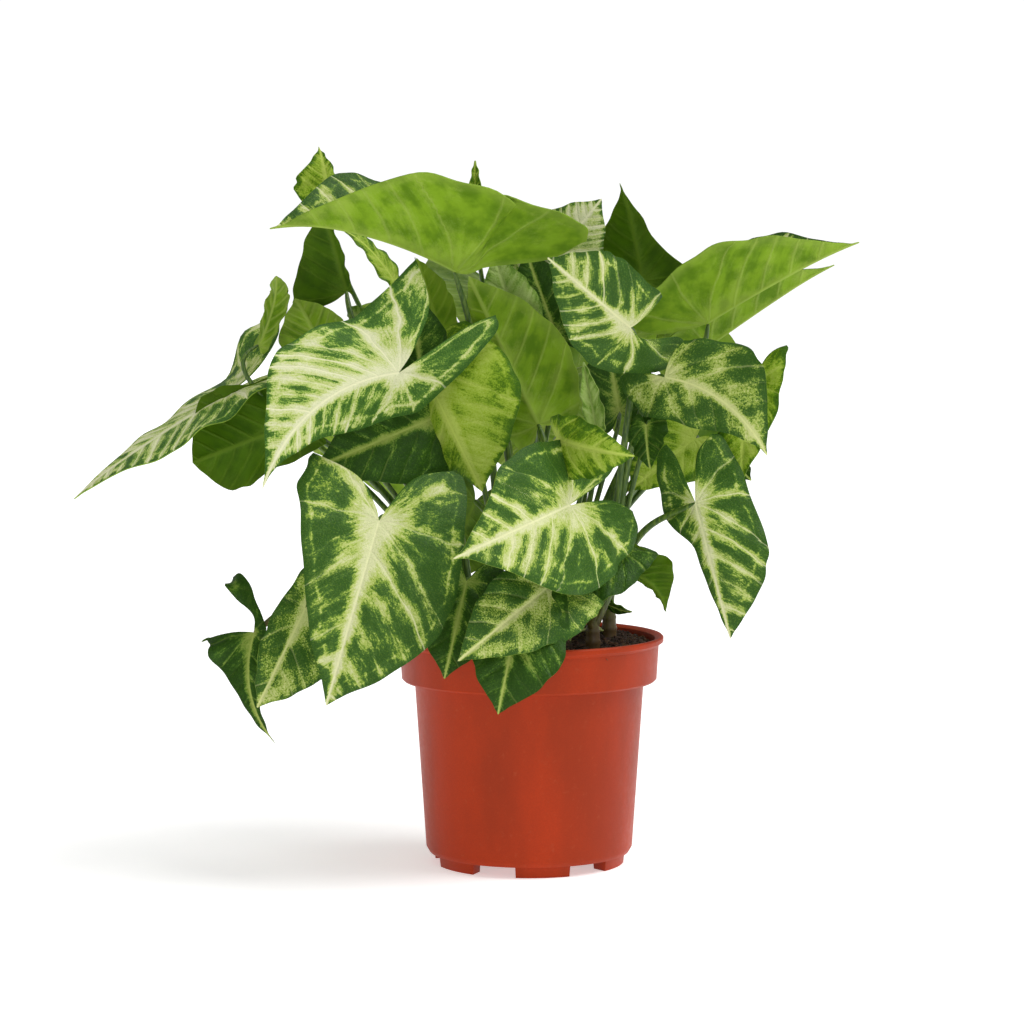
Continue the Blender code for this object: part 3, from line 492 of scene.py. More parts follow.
# Living leaf under a thin coat of wax: soft wide highlights, and light that glows through from behind.
# Its patterns are laid out in millimetres of the blade, so a scale of 1 is 1 mm: cells of the tissue are
# about 2 mm wide, specks 0.7 mm and patches 13 mm.
@dataclass(frozen=True)
class WaxyLeaf:
    """Waxy leaf skin, pale along its veins on the upper face and plainer below.

    Attributes:
        name: The material's name.
        deep, green, fringe, pale, cream: Colours from the greenest to the palest tissue.
        spread: How far the pale tissue reaches from the veins.
        streaks: How uneven the pale tissue is along the veins.
        speckles: How speckled its edge is.
        patches: How patchy the blade is.
        veining: How much of the pale tissue follows the side veins.
        vein_lines: How clear the thin lines along the side veins are.
        under, under_dark: Colours of the underside.
        under_vein: Colour of the veins on the underside, and of the painted light along its margin.
        glow, under_glow: Colours of the light that comes through, seen from above and from below.
        through, under_through: How much light comes through, seen from above and from below.
    """

    name: str
    deep: str = "#32571c"
    green: str = "#4c7130"
    fringe: str = "#88aa36"
    pale: str = "#c6d668"
    cream: str = "#f2f2be"
    spread: float = 0.08
    streaks: float = 1.3
    speckles: float = 1.1
    patches: float = 1.25
    veining: float = 1.0
    vein_lines: float = 0.6
    under: str = "#91b928"
    under_dark: str = "#527c0d"
    under_vein: str = "#b6cc62"
    glow: str = "#9cc41c"
    under_glow: str = "#a2cc0c"
    through: float = 0.18
    under_through: float = 0.3

    def vein_gap(self, tree: Any, wander: float) -> tuple[Any, Any]:
        """Adds the nodes for the nearest side vein.

        Args:
            tree: The material's tree.
            wander: How far the veins stray from their plan, as a share of the distance between them.

        Returns:
            The distance to it in millimetres, and how strongly it is marked, 0 to 1.
        """
        flat = add_node(tree, ATTRIBUTE, attribute_name="flat").outputs["Vector"]
        stray = add_node(
            tree, MATH,
            (add_node(tree, NOISE, {"Vector": flat, "Scale": 0.07, "Detail": 1.0, "Roughness": 0.55}), 0.5),
            operation="SUBTRACT",
        )
        turn = add_node(
            tree, MATH, (stray, wander, add_node(tree, ATTRIBUTE, attribute_name="vein").outputs["Fac"]),
            operation="MULTIPLY_ADD",
        )
        whole = add_node(tree, MATH, (turn,), operation="ROUND")
        share = add_node(
            tree, MATH, (add_node(tree, MATH, (turn, whole), operation="SUBTRACT"),), operation="ABSOLUTE",
        )
        gap = add_node(
            tree, MATH, (share, add_node(tree, ATTRIBUTE, attribute_name="pitch").outputs["Fac"]),
            operation="MULTIPLY",
        )
        parts = add_node(tree, "ShaderNodeSeparateXYZ", {0: flat}).outputs
        side = add_node(tree, MATH, (parts["X"],), operation="SIGN")
        key = add_node(tree, "ShaderNodeCombineXYZ", {"X": whole, "Y": side, "Z": parts["Z"]}).outputs[0]
        chance = add_node(tree, "ShaderNodeTexWhiteNoise", {"Vector": key}, noise_dimensions="3D")
        return gap, chance.outputs["Value"]

    def paleness(self, tree: Any, gap: Any, weight: Any) -> Any:
        """Adds the nodes that say how pale the tissue is.

        Args:
            tree: The material's tree.
            gap: Distance to the nearest side vein.
            weight: How strongly that vein is marked.

        Returns:
            The output, from below 0 for the greenest tissue to above 1 for the palest.
        """
        flat = add_node(tree, ATTRIBUTE, attribute_name="flat").outputs["Vector"]
        streak = add_node(tree, ATTRIBUTE, attribute_name="streak").outputs["Vector"]
        rim = add_node(tree, ATTRIBUTE, attribute_name="rim").outputs["Fac"]
        spread_of_vein = add_node(tree, MATH, (weight, 0.7, 0.55), operation="MULTIPLY_ADD")
        width = add_node(
            tree, MATH, (add_node(tree, ATTRIBUTE, attribute_name="band").outputs["Fac"], spread_of_vein),
            operation="MULTIPLY",
        )
        vein = add_node(
            tree, MATH, (1.0, add_node(tree, MATH, (gap, width), operation="DIVIDE")), operation="SUBTRACT",
            use_clamp=True,
        )
        vein = add_node(
            tree, MATH, (vein, add_node(tree, MATH, (weight, 0.55, 0.3), operation="MULTIPLY_ADD")),
            operation="MULTIPLY",
        )
        drift = add_node(
            tree, MATH,
            (
                add_node(tree, NOISE, {"Vector": flat, "Scale": 0.09, "Detail": 1.0, "Roughness": 0.55}),
                5.0, 2.4,
            ),
            operation="MULTIPLY_ADD",
        )
        loop = add_node(
            tree, MATH,
            (
                add_node(
                    tree, MATH, (add_node(tree, MATH, (rim, drift), operation="SUBTRACT"),),
                    operation="ABSOLUTE",
                ),
                1.3,
            ),
            operation="DIVIDE",
        )
        loop = add_node(
            tree, MATH, (add_node(tree, MATH, (1.0, loop), operation="SUBTRACT", use_clamp=True), 0.34),
            operation="MULTIPLY",
        )
        veined = add_node(
            tree, MATH, (add_node(tree, MATH, (vein, loop), operation="MAXIMUM"), self.veining),
            operation="MULTIPLY",
        )
        close = add_node(
            tree, MATH, (add_node(tree, ATTRIBUTE, attribute_name="blaze").outputs["Fac"], veined),
            operation="MAXIMUM",
        )
        along = add_node(
            tree, MATH,
            (add_node(tree, NOISE, {"Vector": streak, "Scale": 0.5, "Detail": 4.0, "Roughness": 0.6}), 0.5),
            operation="SUBTRACT",
        )
        fine = add_node(
            tree, MATH,
            (add_node(tree, NOISE, {"Vector": streak, "Scale": 1.9, "Detail": 3.0, "Roughness": 0.7}), 0.5),
            operation="SUBTRACT",
        )
        dots = add_node(
            tree, MATH,
            (add_node(tree, NOISE, {"Vector": flat, "Scale": 1.3, "Detail": 3.0, "Roughness": 0.8}), 0.5),
            operation="SUBTRACT",
        )
        patches = add_node(
            tree, MATH,
            (
                add_node(tree, NOISE, {"Vector": flat, "Scale": 0.075, "Detail": 1.0, "Roughness": 0.55}),
                0.5,
            ),
            operation="SUBTRACT",
        )
        value = add_node(tree, MATH, (along, self.streaks, close), operation="MULTIPLY_ADD")
        value = add_node(tree, MATH, (fine, 0.8 * self.streaks, value), operation="MULTIPLY_ADD")
        value = add_node(tree, MATH, (dots, self.speckles, value), operation="MULTIPLY_ADD")
        value = add_node(tree, MATH, (patches, self.patches, value), operation="MULTIPLY_ADD")
        ragged = add_node(tree, MATH, (along, 5.0, rim), operation="MULTIPLY_ADD")
        edge = add_node(
            tree, MATH,
            (
                add_node(
                    tree, MATH,
                    (
                        1.0,
                        add_node(
                            tree, RANGE, {"Value": ragged, "From Min": 0.3, "From Max": 2.6},
                            interpolation_type="SMOOTHSTEP",
                        ),
                    ),
                    operation="SUBTRACT",
                ),
                0.42,
            ),
            operation="MULTIPLY",
        )
        return add_node(
            tree, MATH, (add_node(tree, MATH, (value, edge), operation="SUBTRACT"), self.spread),
            operation="ADD",
        )

    def colours(self, tree: Any, value: Any) -> Any:
        """Adds the ramp from green to cream and returns its colour."""
        ramp = add_node(tree, "ShaderNodeValToRGB", {"Fac": value})
        shades = (self.deep, self.green, self.fringe, self.pale, self.cream)
        steps = tuple(zip((0.0, 0.28, 0.38, 0.52, 1.0), shades))
        stops = ramp.color_ramp.elements
        while len(stops) < len(steps):
            stops.new(0.5)
        for stop, (place, code) in zip(stops, steps):
            stop.position = place
            stop.color = linear(code)
        return ramp.outputs["Color"]

    def finish(
        self, tree: Any, out: Any, skin: dict[str, Any], glow: Any, height: Any, through: float,
    ) -> None:
        """Adds the shaders: a waxy skin that lets some light through.

        Args:
            tree: The material's tree.
            out: Its output node.
            skin: What the skin's sockets take.
            glow: Colour of the light that comes through.
            height: Relief.
            through: How much light comes through.
        """
        bump = add_node(
            tree, "ShaderNodeBump", {"Strength": 0.5, "Distance": 0.0005, "Height": height},
        ).outputs[0]
        waxy = add_node(tree, "ShaderNodeBsdfPrincipled", {**skin, "Normal": bump})
        shining = add_node(tree, "ShaderNodeBsdfTranslucent", {"Color": glow, "Normal": bump})
        both = {0: through, 1: waxy.outputs[0], 2: shining.outputs[0]}
        tree.links.new(add_node(tree, "ShaderNodeMixShader", both).outputs[0], out.inputs[0])

    def upper(self) -> Any:
        """Makes the material of the upper face."""
        made, tree, out = new_material(self.name + "_upper")
        gap, weight = self.vein_gap(tree, 0.5)
        value = self.paleness(tree, gap, weight)
        flat = add_node(tree, ATTRIBUTE, attribute_name="flat").outputs["Vector"]
        ribs = add_node(tree, ATTRIBUTE, attribute_name="ribs").outputs["Fac"]
        mottle = add_node(tree, NOISE, {"Vector": flat, "Scale": 0.22, "Detail": 4.0, "Roughness": 0.55})
        colour = add_node(
            tree, MIX,
            {
                0: add_node(tree, MATH, (mottle, 0.22), operation="MULTIPLY"), 6: self.colours(tree, value),
                7: linear(self.green),
            },
            data_type="RGBA",
        ).outputs[2]
        flecks = add_node(
            tree, MATH,
            (
                add_node(
                    tree, RANGE,
                    {
                        "Value": add_node(
                            tree, NOISE, {"Vector": flat, "Scale": 1.5, "Detail": 2.0, "Roughness": 0.8},
                        ),
                        "From Min": 0.5, "From Max": 0.68,
                    },
                    interpolation_type="SMOOTHSTEP",
                ),
                0.3,
            ),
            operation="MULTIPLY",
        )
        colour = add_node(
            tree, MIX, {0: flecks, 6: colour, 7: linear(self.fringe)}, data_type="RGBA",
        ).outputs[2]
        hidden = add_node(
            tree, MATH,
            (
                add_node(
                    tree, RANGE, {"Value": weight, "From Min": 0.2, "From Max": 0.8},
                    interpolation_type="SMOOTHSTEP",
                ),
                -self.vein_lines, 1.0,
            ),
            operation="MULTIPLY_ADD",
        )
        beside_vein = add_node(
            tree, MATH,
            (
                add_node(
                    tree, RANGE, {"Value": gap, "From Min": 0.1, "From Max": 0.4},
                    interpolation_type="SMOOTHSTEP",
                ),
                hidden,
            ),
            operation="MAXIMUM",
        )
        lines = add_node(
            tree, MATH,
            (
                add_node(
                    tree, RANGE, {"Value": ribs, "From Min": 0.2, "From Max": 0.6},
                    interpolation_type="SMOOTHSTEP",
                ),
                beside_vein,
            ),
            operation="MINIMUM",
        )
        colour = add_node(
            tree, MIX, {0: lines, 6: linear(self.cream), 7: colour}, data_type="RGBA",
        ).outputs[2]
        glow = add_node(tree, MIX, {0: 0.5, 6: colour, 7: linear(self.glow)}, data_type="RGBA").outputs[2]
        cells = add_node(
            tree, "ShaderNodeTexVoronoi", {"Vector": flat, "Scale": 0.55}, feature="DISTANCE_TO_EDGE",
        ).outputs["Distance"]
        net = add_node(
            tree, MATH,
            (
                add_node(
                    tree, RANGE, {"Value": cells, "From Min": 0.0, "From Max": 0.16},
                    interpolation_type="SMOOTHSTEP",
                ),
                0.35,
            ),
            operation="MULTIPLY",
        )
        groove = add_node(
            tree, MATH,
            (
                add_node(
                    tree, RANGE, {"Value": ribs, "From Min": 0.0, "From Max": 1.4},
                    interpolation_type="SMOOTHSTEP",
                ),
                add_node(
                    tree, RANGE, {"Value": gap, "From Min": 0.0, "From Max": 1.1},
                    interpolation_type="SMOOTHSTEP",
                ),
            ),
            operation="MINIMUM",
        )
        height = add_node(tree, MATH, (groove, net), operation="ADD")
        roughness = add_node(tree, MATH, (mottle, 0.22, 0.34), operation="MULTIPLY_ADD")
        skin = {"Base Color": colour, "Roughness": roughness, "Specular IOR Level": 0.14}
        self.finish(tree, out, skin, glow, height, self.through)
        return made

    def lower(self) -> Any:
        """Makes the material of the underside."""
        made, tree, out = new_material(self.name + "_lower")
        gap, weight = self.vein_gap(tree, 0.12)
        value = self.paleness(tree, gap, weight)
        flat = add_node(tree, ATTRIBUTE, attribute_name="flat").outputs["Vector"]
        ribs = add_node(tree, ATTRIBUTE, attribute_name="ribs").outputs["Fac"]
        rim = add_node(tree, ATTRIBUTE, attribute_name="rim").outputs["Fac"]
        mottle = add_node(tree, NOISE, {"Vector": flat, "Scale": 0.1, "Detail": 5.0, "Roughness": 0.6})
        streaky = add_node(
            tree, NOISE,
            {
                "Vector": add_node(tree, ATTRIBUTE, attribute_name="streak").outputs["Vector"],
                "Scale": 0.35, "Detail": 3.0, "Roughness": 0.55,
            },
        )
        dusk = add_node(
            tree, RANGE,
            {
                "Value": add_node(
                    tree, MATH, (mottle, 0.55, add_node(tree, MATH, (streaky, 0.45), operation="MULTIPLY")),
                    operation="MULTIPLY_ADD",
                ),
                "From Min": 0.4, "From Max": 0.62,
            },
            interpolation_type="SMOOTHSTEP",
        )
        body = add_node(
            tree, MIX,
            {
                0: add_node(tree, MATH, (dusk, 0.75), operation="MULTIPLY"), 6: linear(self.under),
                7: linear(self.under_dark),
            },
            data_type="RGBA",
        ).outputs[2]
        # Painted light: the underside is paler within about 7 mm of its margin, a painted glow along the
        # edge
        inside = add_node(
            tree, MATH,
            (
                add_node(
                    tree, RANGE, {"Value": rim, "From Min": 0.0, "From Max": 7.0},
                    interpolation_type="SMOOTHSTEP",
                ),
                0.3, 0.7,
            ),
            operation="MULTIPLY_ADD",
        )
        body = add_node(
            tree, MIX, {0: inside, 6: linear(self.under_vein), 7: body}, data_type="RGBA",
        ).outputs[2]
        showing = add_node(
            tree, MATH,
            (
                add_node(
                    tree, RANGE, {"Value": value, "From Min": 0.1, "From Max": 1.0},
                    interpolation_type="SMOOTHSTEP",
                ),
                0.3,
            ),
            operation="MULTIPLY",
        )
        colour = add_node(
            tree, MIX, {0: showing, 6: body, 7: linear(self.pale)}, data_type="RGBA",
        ).outputs[2]
        by_vein = add_node(
            tree, MATH,
            (
                add_node(
                    tree, RANGE, {"Value": gap, "From Min": 0.1, "From Max": 0.9},
                    interpolation_type="SMOOTHSTEP",
                ),
                0.3, 0.7,
            ),
            operation="MULTIPLY_ADD",
        )
        by_rib = add_node(
            tree, MATH,
            (
                add_node(
                    tree, RANGE, {"Value": ribs, "From Min": 0.3, "From Max": 1.1},
                    interpolation_type="SMOOTHSTEP",
                ),
                0.55, 0.45,
            ),
            operation="MULTIPLY_ADD",
        )
        colour = add_node(
            tree, MIX,
            {
                0: add_node(tree, MATH, (by_vein, by_rib), operation="MINIMUM"), 6: linear(self.under_vein),
                7: colour,
            },
            data_type="RGBA",
        ).outputs[2]
        glow = add_node(
            tree, MIX, {0: 0.5, 6: colour, 7: linear(self.under_glow)}, data_type="RGBA",
        ).outputs[2]
        hollow = add_node(
            tree, MATH,
            (
                add_node(
                    tree, RANGE, {"Value": ribs, "From Min": 0.3, "From Max": 1.8},
                    interpolation_type="SMOOTHSTEP",
                ),
                add_node(
                    tree, RANGE, {"Value": gap, "From Min": 0.0, "From Max": 0.9},
                    interpolation_type="SMOOTHSTEP",
                ),
            ),
            operation="MINIMUM",
        )
        roughness = add_node(tree, MATH, (mottle, 0.2, 0.45), operation="MULTIPLY_ADD")
        skin = {"Base Color": colour, "Roughness": roughness, "Specular IOR Level": 0.12}
        raised = add_node(tree, MATH, (1.0, hollow), operation="SUBTRACT")
        self.finish(tree, out, skin, glow, raised, self.under_through)
        return made


LEAF_FINISHES = {
    Look.CREAM: WaxyLeaf(
        "leaf_cream", deep="#345c1f", green="#507a30", fringe="#95b942", pale="#d2de80", cream="#f7f6cc",
        spread=0.27, vein_lines=0.95, under="#8cae2f", under_vein="#b4cb66",
    ),
    Look.MARKED: WaxyLeaf("leaf_marked"),
    Look.LIME: WaxyLeaf(
        "leaf_lime", deep="#3c6410", green="#567d15", fringe="#7b9e20", pale="#a2bf38", cream="#c8da64",
        spread=0.44, streaks=0.8, veining=0.5, vein_lines=0.3, under="#7b9f1c", under_dark="#5b820f",
        under_vein="#a8c24a",
    ),
    Look.SPECKLED: WaxyLeaf(
        "leaf_speckled", fringe="#83a534", pale="#b8cd58", cream="#e8eca2", spread=0.22, streaks=0.8,
        speckles=2.4, patches=2.2, veining=0.45, vein_lines=0.2,
    ),
    # Darker greens on both faces: partly the blades' own deep green, partly painted shade for blades that
    # sit in shade among the others
    Look.DARK: WaxyLeaf(
        "leaf_dark_and_shaded", deep="#27480f", green="#3d6219", fringe="#58802a", pale="#86a23e", cream="#b4c463",
        spread=-0.02, speckles=1.6, veining=0.4, vein_lines=0.15, under="#52770b", under_dark="#345607",
        under_vein="#6d8a24",
    ),
    Look.PALE: WaxyLeaf(
        "leaf_pale", deep="#64882f", green="#7c9e42", fringe="#8fb050", pale="#a2be62", cream="#b8cc7c",
        spread=0.5, streaks=0.8, veining=0.5, vein_lines=0.3, under="#98b44e", under_dark="#7b9f45",
        under_vein="#bfce84",
    ),
}


# Living stalk with a smooth skin: a narrow highlight along it. Its streaks stand upright, about 1 mm wide
# and 17 mm long, and its blots are about 11 mm wide.
@dataclass(frozen=True)
class GreenStalk:
    """Smooth green stalk tissue with faint streaks along it, browner near the soil.

    Attributes:
        name: The material's name.
        green: Main colour.
        pale: Colour of the streaks.
        brown: Colour near the soil.
        blot: Colour of the darker blots.
        low, high: Heights in metres between which the brown gives way to green.
    """

    name: str = "stalk_green"
    green: str = "#3d5c14"
    pale: str = "#6f8a2c"
    brown: str = "#5f4a2a"
    blot: str = "#34551a"
    low: float = 0.104
    high: float = 0.130

    def material(self) -> Any:
        """Makes the material."""
        made, tree, out = new_material(self.name)
        where = add_node(tree, "ShaderNodeTexCoord").outputs["Object"]
        long = add_node(
            tree, "ShaderNodeMapping", {"Vector": where, "Scale": (900.0, 900.0, 60.0)},
        ).outputs[0]
        streaks = add_node(tree, NOISE, {"Vector": long, "Scale": 1.0, "Detail": 2.0, "Roughness": 0.55})
        blots = add_node(tree, NOISE, {"Vector": where, "Scale": 90.0, "Detail": 3.0, "Roughness": 0.55})
        colour = add_node(
            tree, MIX,
            {
                0: add_node(
                    tree, RANGE, {"Value": streaks, "From Min": 0.4, "From Max": 0.7},
                    interpolation_type="SMOOTHSTEP",
                ),
                6: linear(self.green), 7: linear(self.pale),
            },
            data_type="RGBA",
        ).outputs[2]
        colour = add_node(
            tree, MIX,
            {0: add_node(tree, MATH, (blots, 0.4), operation="MULTIPLY"), 6: colour, 7: linear(self.blot)},
            data_type="RGBA",
        ).outputs[2]
        height = add_node(tree, "ShaderNodeSeparateXYZ", {0: where}).outputs["Z"]
        rise = add_node(
            tree, MATH, (height, add_node(tree, MATH, (blots, 0.008), operation="MULTIPLY")),
            operation="ADD",
        )
        colour = add_node(
            tree, MIX,
            {
                0: add_node(
                    tree, RANGE, {"Value": rise, "From Min": self.low, "From Max": self.high},
                    interpolation_type="SMOOTHSTEP",
                ),
                6: linear(self.brown), 7: colour,
            },
            data_type="RGBA",
        ).outputs[2]
        bump = add_node(tree, "ShaderNodeBump", {"Strength": 0.3, "Distance": 0.0002, "Height": streaks})
        shader = add_node(
            tree, "ShaderNodeBsdfPrincipled",
            {
                "Base Color": colour,
                "Roughness": add_node(tree, MATH, (blots, 0.2, 0.34), operation="MULTIPLY_ADD"),
                "Normal": bump.outputs[0],
            },
        )
        tree.links.new(shader.outputs[0], out.inputs[0])
        return made


# Moulded polypropylene with a fine mould grain: a broad dull sheen and no sharp highlight. Its grain is
# 0.7 mm wide, near the finest that shows in the render, where a pixel is 0.44 mm. Its scuffs are 3 mm wide
# and its flow marks about 40 mm wide and 110 mm high.
@dataclass(frozen=True)
class TerracottaPlastic:
    """Moulded polypropylene in a terracotta colour, with a fine satin grain, flow marks and some dust.

    Attributes:
        name: The material's name.
        clay: Main colour.
        dull: Colour of the duller patches.
        dust: Colour of the scuffs.
        grit: Colour in the pits of the grain.
    """

    name: str = "terracotta_polypropylene"
    clay: str = "#b2360c"
    dull: str = "#97300d"
    dust: str = "#ae5234"
    grit: str = "#77240f"

    def material(self) -> Any:
        """Makes the material."""
        made, tree, out = new_material(self.name)
        where = add_node(tree, "ShaderNodeTexCoord").outputs["Object"]
        around = add_node(tree, "ShaderNodeMapping", {"Vector": where, "Scale": (1.0, 1.0, 0.35)}).outputs[0]
        clouds = add_node(tree, NOISE, {"Vector": around, "Scale": 26.0, "Detail": 4.0, "Roughness": 0.55})
        grain = add_node(tree, NOISE, {"Vector": where, "Scale": 1500.0, "Detail": 2.0, "Roughness": 0.55})
        scuffs = add_node(tree, NOISE, {"Vector": where, "Scale": 330.0, "Detail": 5.0, "Roughness": 0.7})
        colour = add_node(
            tree, MIX,
            {
                0: add_node(
                    tree, RANGE, {"Value": clouds, "From Min": 0.35, "From Max": 0.7},
                    interpolation_type="SMOOTHSTEP",
                ),
                6: linear(self.clay), 7: linear(self.dull),
            },
            data_type="RGBA",
        ).outputs[2]
        colour = add_node(
            tree, MIX,
            {
                0: add_node(
                    tree, MATH,
                    (
                        add_node(
                            tree, RANGE, {"Value": scuffs, "From Min": 0.56, "From Max": 0.8},
                            interpolation_type="SMOOTHSTEP",
                        ),
                        0.5,
                    ),
                    operation="MULTIPLY",
                ),
                6: colour, 7: linear(self.dust),
            },
            data_type="RGBA",
        ).outputs[2]
        colour = add_node(
            tree, MIX,
            {
                0: add_node(
                    tree, MATH,
                    (
                        add_node(
                            tree, RANGE, {"Value": grain, "From Min": 0.3, "From Max": 0.7},
                            interpolation_type="SMOOTHSTEP",
                        ),
                        0.2,
                    ),
                    operation="MULTIPLY",
                ),
                6: colour, 7: linear(self.grit),
            },
            data_type="RGBA",
        ).outputs[2]
        height = add_node(
            tree, MATH, (grain, 0.6, add_node(tree, MATH, (clouds, 0.4), operation="MULTIPLY")),
            operation="MULTIPLY_ADD",
        )
        bump = add_node(tree, "ShaderNodeBump", {"Strength": 0.25, "Distance": 0.0001, "Height": height})
        roughness = add_node(tree, MATH, (scuffs, 0.3, 0.3), operation="MULTIPLY_ADD")
        shader = add_node(
            tree, "ShaderNodeBsdfPrincipled",
            {
                "Base Color": colour, "Roughness": roughness, "Normal": bump.outputs[0],
                "Specular IOR Level": 0.14,
            },
        )
        tree.links.new(shader.outputs[0], out.inputs[0])
        return made


# Damp peat: dark, dull and broken into crumbs, with no sheen. Its lumps are about 4 mm wide and its specks
# 0.8 mm.
@dataclass(frozen=True)
class Peat:
    """Damp crumbly peat.

    Attributes:
        name: The material's name.
        dark: Colour of the damp peat.
        brown: Colour of its drier crumbs.
        straw: Colour of its few fibres.
        fibre_share: How light the piece is, from 0 for soil to 1 for straw.
    """

    name: str
    dark: str = "#2a1a11"
    brown: str = "#5c3d28"
    straw: str = "#8a6a45"
    fibre_share: float = 0.0

    def material(self) -> Any:
        """Makes the material."""
        made, tree, out = new_material(self.name)
        where = add_node(tree, "ShaderNodeTexCoord").outputs["Object"]
        lumps = add_node(tree, NOISE, {"Vector": where, "Scale": 260.0, "Detail": 5.0, "Roughness": 0.65})
        specks = add_node(tree, NOISE, {"Vector": where, "Scale": 1300.0, "Detail": 3.0, "Roughness": 0.6})
        colour = add_node(
            tree, MIX,
            {
                0: add_node(
                    tree, RANGE, {"Value": lumps, "From Min": 0.42, "From Max": 0.72},
                    interpolation_type="SMOOTHSTEP",
                ),
                6: linear(self.dark), 7: linear(self.brown),
            },
            data_type="RGBA",
        ).outputs[2]
        colour = add_node(
            tree, MIX,
            {
                0: add_node(
                    tree, MATH,
                    (
                        add_node(
                            tree, RANGE, {"Value": specks, "From Min": 0.62, "From Max": 0.74},
                            interpolation_type="SMOOTHSTEP",
                        ),
                        0.6,
                    ),
                    operation="MULTIPLY",
                ),
                6: colour, 7: linear(self.straw),
            },
            data_type="RGBA",
        ).outputs[2]
        if self.fibre_share:
            colour = add_node(
                tree, MIX, {0: self.fibre_share, 6: colour, 7: linear(self.straw)}, data_type="RGBA",
            ).outputs[2]
        height = add_node(tree, MATH, (specks, 0.5, lumps), operation="MULTIPLY_ADD")
        bump = add_node(tree, "ShaderNodeBump", {"Strength": 0.8, "Distance": 0.001, "Height": height})
        roughness = add_node(tree, MATH, (specks, 0.2, 0.78), operation="MULTIPLY_ADD")
        shader = add_node(
            tree, "ShaderNodeBsdfPrincipled",
            {"Base Color": colour, "Roughness": roughness, "Normal": bump.outputs[0]},
        )
        tree.links.new(shader.outputs[0], out.inputs[0])
        return made


class BladeForm:
    """Carries places on a flat blade to the bent blade in space, as the part's source does."""

    SAMPLES = 65

    def __init__(self, leaf: Leaf) -> None:
        """Works out the midrib's bend and the blade's directions.

        Args:
            leaf: The leaf.
        """
        self.leaf = leaf
        self.start = np.array(seen(*leaf.junction))
        self.end = np.array(seen(*leaf.tip))
        chord = self.end - self.start
        self.along = chord / np.linalg.norm(chord)
        facing = np.array(VIEWER) - self.start
        facing = facing - self.along * (facing @ self.along)
        facing = facing / np.linalg.norm(facing)
        turn = math.radians(leaf.roll)
        self.up = facing * math.cos(turn) + np.cross(self.along, facing) * math.sin(turn)
        self.side = np.cross(self.along, self.up)
        share = np.linspace(0.0, 1.0, self.SAMPLES)
        angle = self.bend(share)
        steps = np.stack([np.cos(angle), np.sin(angle)], axis=1)
        path = np.vstack([[0.0, 0.0], np.cumsum((steps[1:] + steps[:-1]) / 2, axis=0)]) / (self.SAMPLES - 1)
        self.tilt = math.atan2(path[-1, 1], path[-1, 0])
        self.length = float(np.linalg.norm(chord) / np.linalg.norm(path[-1]))
        self.share = share
        cosine, sine = math.cos(self.tilt), math.sin(self.tilt)
        self.path = path @ np.array([[cosine, -sine], [sine, cosine]]) * self.length

    def bend(self, share: np.ndarray) -> np.ndarray:
        """Returns the midrib's angle below its start, in radians, at a share of its length."""
        arch = math.radians(self.leaf.arch) * share
        curl = math.radians(self.leaf.curl) * smooth((share - 0.6) / 0.4)
        return -(arch + curl)

    def place(
        self, away: np.ndarray, along: np.ndarray, side: int, half: Half, lift: np.ndarray,
    ) -> np.ndarray:
        """Finds places in space.

        Args:
            away: Millimetres from the midrib.
            along: Millimetres along the midrib.
            side: 1 for the right half and -1 for the left.
            half: The half's form.
            lift: Millimetres that the skin stands above the plain form.

        Returns:
            Points in millimetres from the pot's axis.
        """
        leaf = self.leaf
        share = along / self.length
        inside = np.clip(share, 0.0, 1.0)
        forward = np.interp(inside, self.share, self.path[:, 0])
        height = np.interp(inside, self.share, self.path[:, 1])
        behind = np.minimum(along, 0.0)
        nape = math.radians(leaf.nape) * smooth(-share / 0.15)
        angle = self.bend(np.clip(share, -0.5, 1.0)) - self.tilt - nape
        back_angle = self.bend(np.clip(share, -0.5, 0.0) / 2) - self.tilt - nape
        forward = forward + behind * np.cos(back_angle)
        height = height + behind * np.sin(back_angle)
        reach = away / half.width
        lobe = smooth(-along / max(half.back, 1.0))
        fold = math.radians(half.fold) + math.radians(half.lift) * lobe
        fold = fold - math.radians(half.droop) * reach / 2
        lateral = away * np.cos(fold) - lift * np.sin(fold)
        raised = away * np.sin(fold) + lift * np.cos(fold)
        phase = 0.0 if side > 0 else 0.37
        ripple = np.sin(2 * math.pi * (leaf.waves * share + phase))
        flutter = 0.7 * np.sin(2 * math.pi * (3.7 * share + 2.3 * phase + 0.1 * leaf.roll))
        raised = raised + (leaf.wave * ripple + flutter) * reach**2 * smooth((1.0 - share) / 0.3)
        turn = math.radians(leaf.twist) * share
        sideways = side * lateral + leaf.bow * 4 * inside * (1.0 - inside)
        sideways, raised = (
            sideways * np.cos(turn) - raised * np.sin(turn),
            sideways * np.sin(turn) + raised * np.cos(turn),
        )
        forward = forward - raised * np.sin(angle)
        height = height + raised * np.cos(angle)
        return (
            self.start
            + forward[..., None] * self.along
            + height[..., None] * self.up
            + sideways[..., None] * self.side
        )


